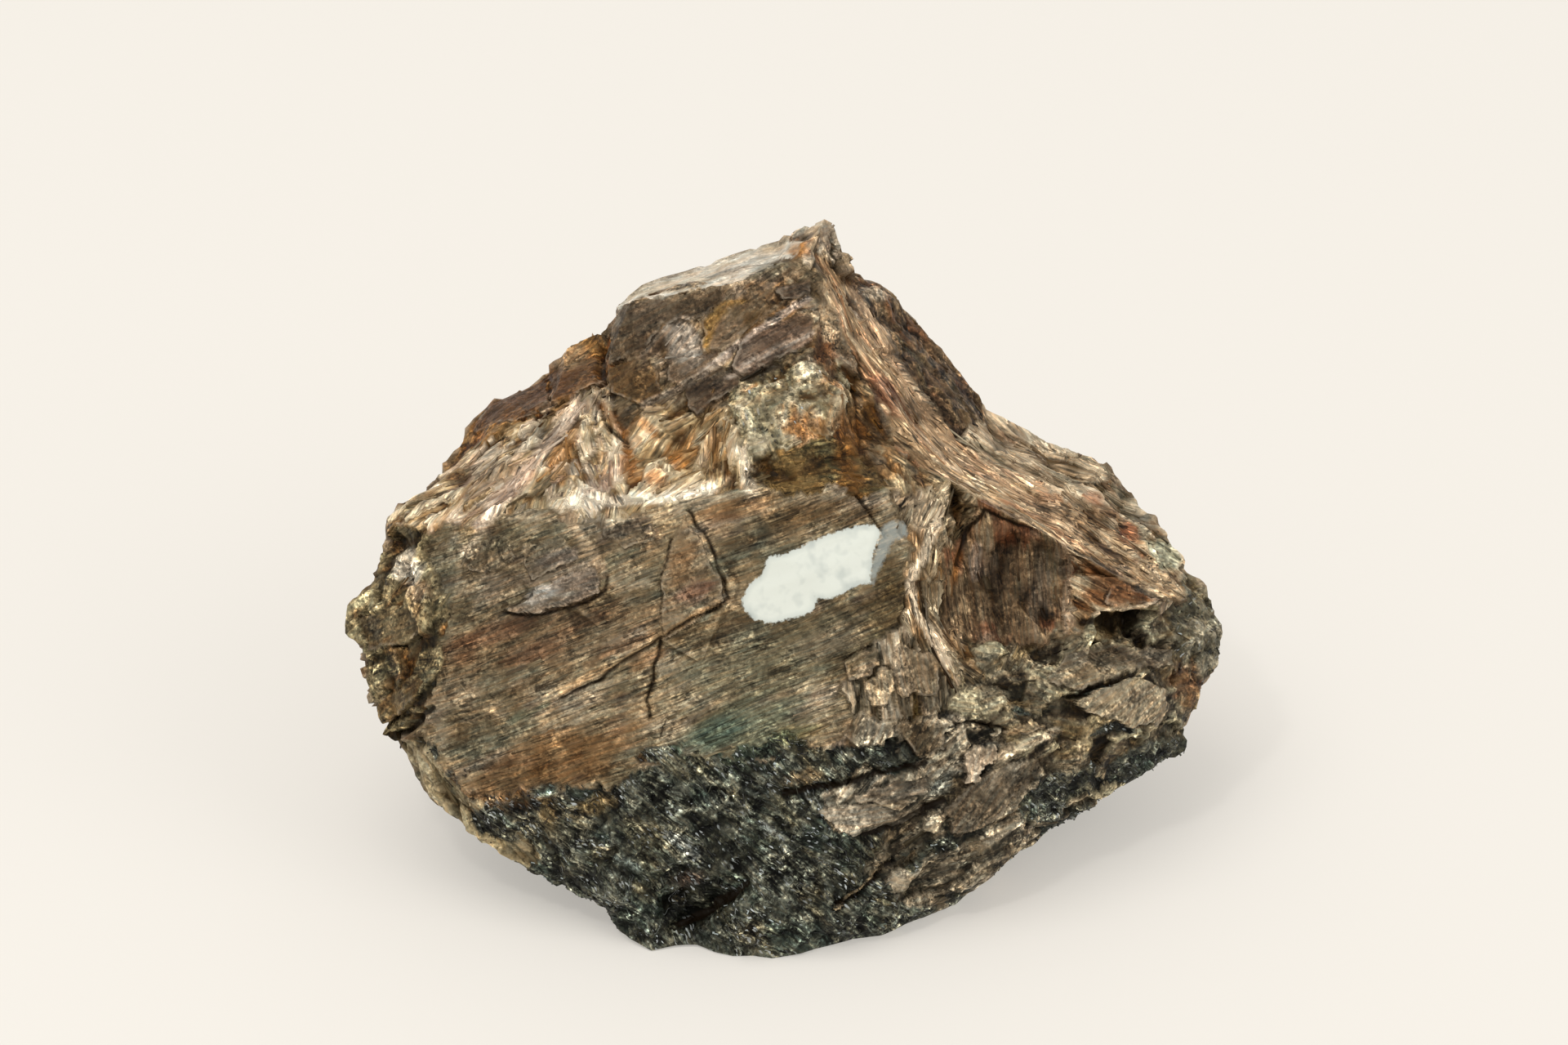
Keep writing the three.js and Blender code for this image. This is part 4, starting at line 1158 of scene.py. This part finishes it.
def stone_finish():
    """Silky fibres over the painted ground colours, painted glints in the base, cracks painted dark as
    painted shade, painted shadow and highlight lines at plate rims, and white paint.
    """
    finish = Finish("fibrous_stone")
    ground = finish.attribute("ground_colour", "Color")
    fibre = finish.attribute("fibre", "Vector")
    silk = finish.attribute("silk")
    sparkle = finish.attribute("sparkle")
    contrast = finish.attribute("contrast")
    crack = finish.attribute("crack_edge")
    paint = finish.attribute("paint_edge")
    smear = finish.attribute("smear_edge")
    rim = finish.attribute("rim_edge")
    rim_strength = finish.attribute("rim_strength")
    object_place = finish.node("ShaderNodeTexCoord", {}, {}, "Object")
    strands = finish.cells(finish.stretched(fibre, (0.10, 1.5, 1.5)), scale=1.0) - 0.5
    needles = finish.cells(finish.stretched(fibre, (0.28, 3.4, 3.4)), scale=1.0) - 0.5
    hair_place = finish.stretched(fibre, (0.12, 1.6, 1.6))
    hairs = finish.noise(hair_place, scale=1.0, detail=4.0).between(0.3, 0.7) - 0.5
    fleck_place = finish.stretched(fibre, (1.0, 2.2, 2.2))
    flecks = finish.noise(fleck_place, scale=1.0, detail=4.0).between(0.3, 0.7) - 0.5
    warm_place = finish.stretched(fibre, (0.15, 1.5, 1.5))
    warmth = finish.noise(warm_place, scale=1.3, detail=2.0).between(0.35, 0.65)
    grains = finish.cells(object_place, scale=1150.0) - 0.5
    chips = finish.cells(object_place, scale=2700.0) - 0.5
    specks = finish.noise(object_place, scale=1300.0, detail=4.0).between(0.3, 0.7) - 0.5
    painted_glint_cells = finish.cells(finish.stretched(fibre, (0.8, 4.5, 4.5)), scale=1.0)
    cluster = finish.noise(object_place, scale=230.0, detail=2.0).between(0.46, 0.66)
    specky = 1 - silk
    silky = 1.0 * hairs + 0.9 * strands + 1.6 * needles
    silky = silky - 0.3 * silky * silky + 0.1
    sandy = 0.9 * grains + 1.3 * chips + 1.5 * specks
    streaks = silk * silky + specky * sandy + 0.8 * flecks
    lively = 0.4 + 1.15 * finish.noise(object_place, scale=330.0, detail=3.0).between(0.35, 0.65)
    shade = (contrast * lively * streaks).exponential()
    tinted = finish.mixed(warmth, opaque("ecf1f0"), opaque("fff0df"))
    colour = finish.mixed(1.0, ground, finish.grey(shade), "MULTIPLY")
    colour = finish.mixed(1.0, colour, tinted, "MULTIPLY")
    # Painted glints: a few pale cells in the grainy grounds
    painted_glint = cluster * painted_glint_cells.between(0.93, 0.935) * sparkle * 0.85
    colour = finish.mixed(painted_glint, colour, opaque("c6cccb"))

    broken_rim = rim + (finish.noise(object_place, scale=900.0, detail=3.0) - 0.5) * 0.9
    patchy = finish.noise(object_place, scale=420.0, detail=2.0).between(0.42, 0.6) * rim_strength
    # Painted shadow: a dark line just outside each plate's lower edge; inside it a pale line, partly wear and
    # partly painted highlight
    gap = broken_rim.between(-0.3, -0.12) * (1 - broken_rim.between(-0.02, 0.06))
    worn_and_lit_edge = broken_rim.between(0.0, 0.08) * (1 - broken_rim.between(0.16, 0.4))
    colour = finish.mixed(gap * patchy * 0.75, colour, opaque("1c140b"))
    colour = finish.mixed(worn_and_lit_edge * patchy * 0.26, colour, opaque("c2b49e"))

    # Cracks and gaps painted nearly black: painted shade in them and painted shadow under raised edges
    crack_shade = 1 - crack.between(-0.1, 0.12)
    colour = finish.mixed(crack_shade * 0.85, colour, opaque("191108"))

    ragged = finish.noise(object_place, scale=1700.0, detail=3.0) - 0.5
    smeared = (smear + 1.0 * ragged).between(-0.15, 0.3) * 0.75
    painted = (paint + 1.1 * ragged).between(-0.08, 0.14)
    thin = finish.noise(object_place, scale=420.0, detail=2.0).between(0.52, 0.75) * 0.45
    edge = 1 - paint.between(0.0, 0.8)
    cream = finish.mixed((thin + edge * 0.4).clamped(), opaque("d6dad1"), opaque("a3aca9"))
    colour = finish.mixed(smeared, colour, opaque("979d98"))
    colour = finish.mixed(painted, colour, cream)

    bare = 1 - painted
    rough = silk * (0.48 - 0.26 * needles) + specky * (0.42 - 0.3 * chips)
    relief = bare * (silk * (0.6 * hairs + 0.4 * needles) + specky * specks)
    finish.set(
        Base_Color=colour,
        Roughness=bare * rough + painted * 0.55,
        Normal=finish.bump(relief, 0.7, 0.1 * MM),
        Specular_IOR_Level=0.08,
    )
    return finish.material


def grain_finish():
    """Shiny cleavage faces of the dark base's grains, coloured at their points; the silvery ones are painted
    glints.
    """
    finish = Finish("sparkling_grain")
    finish.set(
        Base_Color=finish.attribute("ground_colour", "Color"),
        Roughness=finish.attribute("roughness"),
        Specular_IOR_Level=0.3,
    )
    return finish.material


def feature_distance(flat):
    """Distance from the nearest plate's edge or crack, up to REACH."""
    lines = [plate.outline + plate.outline[:1] for plate in PLATES] + [crack[0] for crack in CRACKS]
    return np.min([line_distance(flat, line) for line in lines], axis=0)


def fine_mesh():
    """Points, normals and triangles of the solid, with edges short enough for the fracture's relief."""
    points, normals, triangles = cad_triangles()

    def longest(rows):
        facing = unit(rows[:, 3:]) @ TO_VIEWER
        near = feature_distance(in_sight(rows[:, :3])[:, :2]) < 0.55
        seen = np.where(near & (facing > 0.1), EDGE_FINE, EDGE_SEEN)
        return EDGE_FAR + (seen - EDGE_FAR) * smooth_step(-0.25, 0.1, facing)

    rows, triangles = refine(np.concatenate([points, normals], 1), triangles, longest)
    return rows[:, :3], unit(rows[:, 3:]), triangles


def by_place(ground, plate, name):
    """A named value of the ground at each point, or of the plate that lies there."""
    of_grounds = np.array([getattr(kind, name) for kind in GROUNDS.values()])
    of_plates = np.array([getattr(kind, name) for kind in PLATES])
    return np.where(plate < 0, of_grounds[ground], of_plates[plate])


def pit_depth(points, normals, ends):
    """How far each point lies under the smoothed surface around it."""
    blurred = points
    for _ in range(PIT_PASSES):
        blurred = neighbour_mean(blurred, ends)
    return ((blurred - points) * normals).sum(1)


def make_stone(material):
    """Makes the dressed stone, and returns what its loose laths and grains are laid by."""
    points, normals, triangles = fine_mesh()
    ends = both_ways(triangles)
    points = soft_hollow(points, normals, ends)
    sight = in_sight(points)
    flat = sight[:, :2]
    front = normals @ TO_VIEWER > FACING_FROM
    ground = place_grounds(points, normals, sight)
    plate = place_plates(points, sight, front)
    fibres = lay_fibres(points, sight, ground, plate)

    height, tone = relief_height(points, normals, sight[:, 1], ground, plate, fibres)
    behind_top = (ground == GROUND_NAMES.index("far")) * smooth_step(3.0, 1.0, top_distance(flat))
    height = height * (1 - 0.85 * behind_top)
    crack_edge, crack_depth = crack_distance(points, sight, front)
    height = 0.8 * height + 0.2 * neighbour_mean(height, ends)
    resting = smooth_step(0.05, 1.2, points[:, 2])
    moved = points + normals * ((height - crack_depth) * resting)[:, None]
    moved[:, 2] = np.maximum(moved[:, 2], 0.0)

    final_normals = vertex_normals(moved, triangles)
    pit = pit_depth(moved, final_normals, ends)
    colours = stone_colours(sight, ground, plate, fibres.places, tone, pit, front)
    for _ in range(BORDER_PASSES):
        colours = colours + 0.8 * behind_top[:, None] * (neighbour_mean(colours, ends) - colours)
    short, fine = by_place(ground, plate, "short"), by_place(ground, plate, "fine")
    rim_edge, rim_strength = plate_rims(points, sight, front)
    paint_edge = np.where(front, depth_inside(flat, PAINT), -REACH)
    smear_edge = np.where(front, depth_inside(flat, SMEAR), -REACH)

    stone = add_mesh(
        "specimen_stone", moved, triangles, material, ground_colour=colours,
        fibre=fibres.places * np.stack([short, fine, fine], 1),
        silk=by_place(ground, plate, "silk"), contrast=by_place(ground, plate, "contrast"),
        sparkle=smooth_step(*PAINTED_GLINT_SHARES, by_place(ground, plate, "grain")),
        crack_edge=crack_edge, paint_edge=paint_edge, smear_edge=smear_edge,
        rim_edge=rim_edge, rim_strength=rim_strength,
    )
    smooth = by_place(ground, plate, "smooth")
    stone.data.polygons.foreach_set("use_smooth", smooth[triangles].all(1))
    stone.data.set_sharp_from_angle(angle=SHARP_FROM)
    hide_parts("stone")
    clear = (plate < 0) & (paint_edge < -0.8) & (smear_edge < -0.8) & (crack_edge > 0.3)
    surface = BVHTree.FromPolygons(moved.tolist(), triangles.tolist())
    return dict(points=moved, normals=final_normals, triangles=triangles, ground=ground, lie=fibres.lie,
                colours=colours, clear=clear, pit=pit, surface=surface)


def soft_hollow(points, normals, ends):
    """The points, with the creases in the hollow under the plume worn down."""
    depth = depth_inside(in_sight(points)[:, :2], GROUNDS["hollow"].outline)
    share = smooth_step(-0.2, 1.2, depth) * (normals @ TO_VIEWER > 0)
    for _ in range(HOLLOW_PASSES):
        points = points + share[:, None] * (neighbour_mean(points, ends) - points)
    return points


def top_distance(flat):
    """Distance from the outline of the pale top."""
    outline = GROUNDS["top"].outline
    return line_distance(flat, outline + outline[:1], reach=3.0)


def standing_out(stone, places):
    """How far each place lies outside the stone; only places well under its surface are inside."""
    found = [stone["surface"].find_nearest(place) for place in places.tolist()]
    nearest = np.array([place for place, *_ in found])
    normal = np.array([normal for _, normal, *_ in found])
    gap = places - nearest
    distance = np.linalg.norm(gap, axis=1)
    return np.where((gap * normal).sum(1) > -0.7 * distance, distance, -distance)


def laths(centres, long_axis, wide_axis, length, width, thickness, rng):
    """Many broken laths, closed boxes with slanting ends, as one mesh: corners and triangles."""
    thin_axis = np.cross(long_axis, wide_axis)
    count = len(centres)
    corners = []
    for end in (-1, 1):
        slant = rng.uniform(-0.35, 0.35, count)
        taper = rng.uniform(0.45, 1.0, count)
        for side, face in ((-1, -1), (1, -1), (1, 1), (-1, 1)):
            reach = end * length / 2 * (1 + side * slant * width / length)
            corners.append(
                centres + long_axis * reach[:, None]
                + wide_axis * (side * width / 2 * taper)[:, None]
                + thin_axis * (face * thickness / 2 * taper)[:, None]
            )
    corners = np.stack(corners, 1)
    quads = [(0, 3, 2, 1), (4, 5, 6, 7), (0, 1, 5, 4), (1, 2, 6, 5), (2, 3, 7, 6), (3, 0, 4, 7)]
    pattern = np.array([face for a, b, c, d in quads for face in ((a, b, c), (a, c, d))])
    triangles = pattern[None] + LATH_CORNERS * np.arange(count)[:, None, None]
    return corners.reshape(-1, 3), triangles.reshape(-1, 3)


def lying_laths(stone, places, lie, wide, length, width, thickness, rng):
    """Laths whose corners all lie close to the stone and above the ground, and which of them these are."""
    corners, triangles = laths(places, lie, wide, length, width, thickness, rng)
    clear = corners[:, 2].reshape(-1, LATH_CORNERS).min(1) > 0.05
    close = standing_out(stone, corners).reshape(-1, LATH_CORNERS).max(1) < HIGHEST_LATH
    kept = clear & close
    corners = corners.reshape(-1, LATH_CORNERS, 3)[kept].reshape(-1, 3)
    return corners, triangles[:LATH_TRIANGLES * kept.sum()], kept


def scatter_on(stone, density, rng):
    """A vertex and a place for each of the triangles drawn at random, so many for each square millimetre."""
    a, b, c = (stone["points"][stone["triangles"][:, k]] for k in range(3))
    area = np.linalg.norm(np.cross(b - a, c - a), axis=1) / 2
    vertex = stone["triangles"][:, 0]
    wanted = area * density[stone["ground"][vertex]] * (a[:, 2] > 1.5) * stone["clear"][vertex]
    drawn = np.flatnonzero(rng.random(len(wanted)) < wanted)
    share = rng.dirichlet((1, 1, 1), len(drawn))
    places = share[:, :1] * a[drawn] + share[:, 1:2] * b[drawn] + share[:, 2:] * c[drawn]
    return vertex[drawn], places


def make_laths(stone, material):
    """Loose blades and fibres that lie along the fibres of the stone."""
    rng = np.random.default_rng(5)
    kinds = np.array([kind.laths for kind in GROUNDS.values()])
    vertex, places = scatter_on(stone, kinds[:, 0], rng)
    flush = np.abs((stone["lie"] * stone["normals"]).sum(1)) < 0.6
    fitting = (stone["pit"] > -0.1)[vertex] & flush[vertex]
    vertex, places = vertex[fitting], places[fitting]
    count = len(places)
    normal = stone["normals"][vertex]
    lie = unit(stone["lie"][vertex] + rng.normal(0, 0.05, (count, 3)))
    lie = unit(lie - normal * (lie * normal).sum(1, keepdims=True))
    wide = unit(np.cross(normal, lie) + rng.normal(0, 0.2, count)[:, None] * normal)
    lie = unit(lie + rng.normal(0.0, 0.03, count)[:, None] * normal)
    wide = unit(wide - lie * (wide * lie).sum(1, keepdims=True))
    mean_length, mean_width = kinds[stone["ground"][vertex], 1:].T
    length = mean_length * rng.gamma(5.0, 0.18, count) + 0.3
    width = mean_width * rng.gamma(2.5, 0.36, count) + 0.1
    thickness = 0.25 * width + 0.16
    places = places - normal * (0.3 * thickness)[:, None]
    tone = rng.uniform(0.6, 1.3, count)[:, None]
    colours = np.clip(stone["colours"][vertex] * tone, 0, 0.9)
    corners, triangles, kept = lying_laths(stone, places, lie, wide, length, width, thickness, rng)
    lie, wide, colours = lie[kept], wide[kept], colours[kept]
    count = kept.sum()
    own = np.repeat(rng.uniform(0, 900, count), LATH_CORNERS)
    along = np.einsum("ij,ij->i", corners, np.repeat(lie, LATH_CORNERS, 0))
    across = np.einsum("ij,ij->i", corners, np.repeat(wide, LATH_CORNERS, 0))
    plain = np.zeros(LATH_CORNERS * count)
    add_mesh(
        "loose_laths", corners, triangles, material, ground_colour=np.repeat(colours, LATH_CORNERS, 0),
        fibre=np.stack([along, across, own], 1), silk=plain + 0.8, contrast=plain + 0.6, sparkle=plain,
        crack_edge=plain + REACH, paint_edge=plain - REACH, smear_edge=plain - REACH,
        rim_edge=plain - REACH, rim_strength=plain,
    )


def make_grains(stone):
    """Small grains and needles that stand out of the dark base; a few are pale silvery as painted glints."""
    rng = np.random.default_rng(9)
    density = np.array([4.5 * max(kind.grain - 0.3, 0) for kind in GROUNDS.values()])
    vertex, places = scatter_on(stone, density, rng)
    seen = stone["normals"][vertex] @ TO_VIEWER > -0.2
    shown = rng.random(len(vertex)) < np.where(seen, 1.0, 0.3)
    vertex, places = vertex[shown], places[shown]
    count = len(places)
    angle = GRAIN_LIE + rng.normal(0, 0.5, count)
    lie = np.cos(angle)[:, None] * TO_RIGHT + np.sin(angle)[:, None] * ACROSS_SIGHT
    lie = unit(lie + 0.4 * rng.normal(size=(count, 3)))
    wide = unit(np.cross(lie, rng.normal(size=(count, 3))))
    length = rng.gamma(4.0, 0.22, count) + 0.3
    width = rng.uniform(0.09, 0.32, count)
    places = places - 0.12 * stone["normals"][vertex]
    tone = rng.gamma(1.2, 0.75, count)[:, None]
    painted_glint_grain = rng.random(count) < 0.12 * smooth_step(-0.2, 0.5, noise(places, size=4, seed=98))
    plain = np.clip(stone["colours"][vertex] * tone, 0.002, 0.7)
    colours = np.where(painted_glint_grain[:, None], linear("a9b3b2"), plain)
    corners, triangles, kept = lying_laths(stone, places, lie, wide, length, width, 0.6 * width, rng)
    add_mesh(
        "base_grains", corners, triangles, grain_finish(),
        ground_colour=np.repeat(colours[kept], LATH_CORNERS, 0),
        roughness=np.repeat(rng.uniform(0.12, 0.4, count)[kept], LATH_CORNERS),
    )


# Stage

def make_floor():
    half = 4.0
    mesh = bpy.data.meshes.new("pale_floor")
    corners = [(-half, -half, 0), (half, -half, 0), (half, half, 0), (-half, half, 0)]
    mesh.from_pydata(corners, [], [(0, 1, 2, 3)])
    finish = Finish("pale_floor")
    finish.set(
        Base_Color=opaque("b4b1ab"), Roughness=0.9,
        Emission_Color=opaque("fffaf2"), Emission_Strength=0.36,
    )
    mesh.materials.append(finish.material)
    floor = bpy.data.objects.new("pale_floor", mesh)
    bpy.context.collection.objects.link(floor)


def make_light(name, place, size, power, colour):
    lamp = bpy.data.lights.new(name, "AREA")
    lamp.shape = "DISK"
    lamp.size = size
    lamp.energy = power
    lamp.color = colour
    holder = bpy.data.objects.new(name, lamp)
    holder.location = place
    aim = Vector((0, 0, 0.03)) - Vector(place)
    holder.rotation_euler = aim.to_track_quat("-Z", "Y").to_euler()
    bpy.context.collection.objects.link(holder)


def make_lights():
    make_light("key_light", (-0.35, -0.2, 1.2), size=1.0, power=4.9, colour=(1.0, 0.98, 0.95))
    make_light("spark_light", (-0.3, -0.5, 0.9), size=0.1, power=1.2, colour=(1.0, 0.98, 0.96))
    make_light("fill_light", (0.9, -0.5, 0.8), size=0.8, power=2.5, colour=(1.0, 0.98, 0.96))
    world = bpy.data.worlds.new("soft_room")
    bpy.context.scene.world = world
    world.use_nodes = True
    backdrop = world.node_tree.nodes["Background"]
    backdrop.inputs["Color"].default_value = (1.0, 0.98, 0.95, 1.0)
    backdrop.inputs["Strength"].default_value = 0.83


def make_camera():
    """A long lens along the survey's line of sight."""
    picture_width = 192.0
    sight_middle = (0.0, 53.05)
    lens = 400.0
    camera = bpy.data.cameras.new("camera")
    camera.lens = lens
    camera.sensor_width = 36.0
    camera.clip_end = 50.0
    distance = picture_width * lens / camera.sensor_width
    middle = TO_RIGHT * sight_middle[0] + ACROSS_SIGHT * sight_middle[1] - SIGHT_ORIGIN
    holder = bpy.data.objects.new("camera", camera)
    holder.location = (middle + TO_VIEWER * distance) * MM
    holder.rotation_euler = Vector(TO_VIEWER).to_track_quat("Z", "Y").to_euler()
    bpy.context.collection.objects.link(holder)
    bpy.context.scene.camera = holder


def main():
    make_camera()
    material = stone_finish()
    stone = make_stone(material)
    make_laths(stone, material)
    make_grains(stone)
    make_floor()
    make_lights()
    bpy.context.scene.view_settings.view_transform = "Standard"


main()
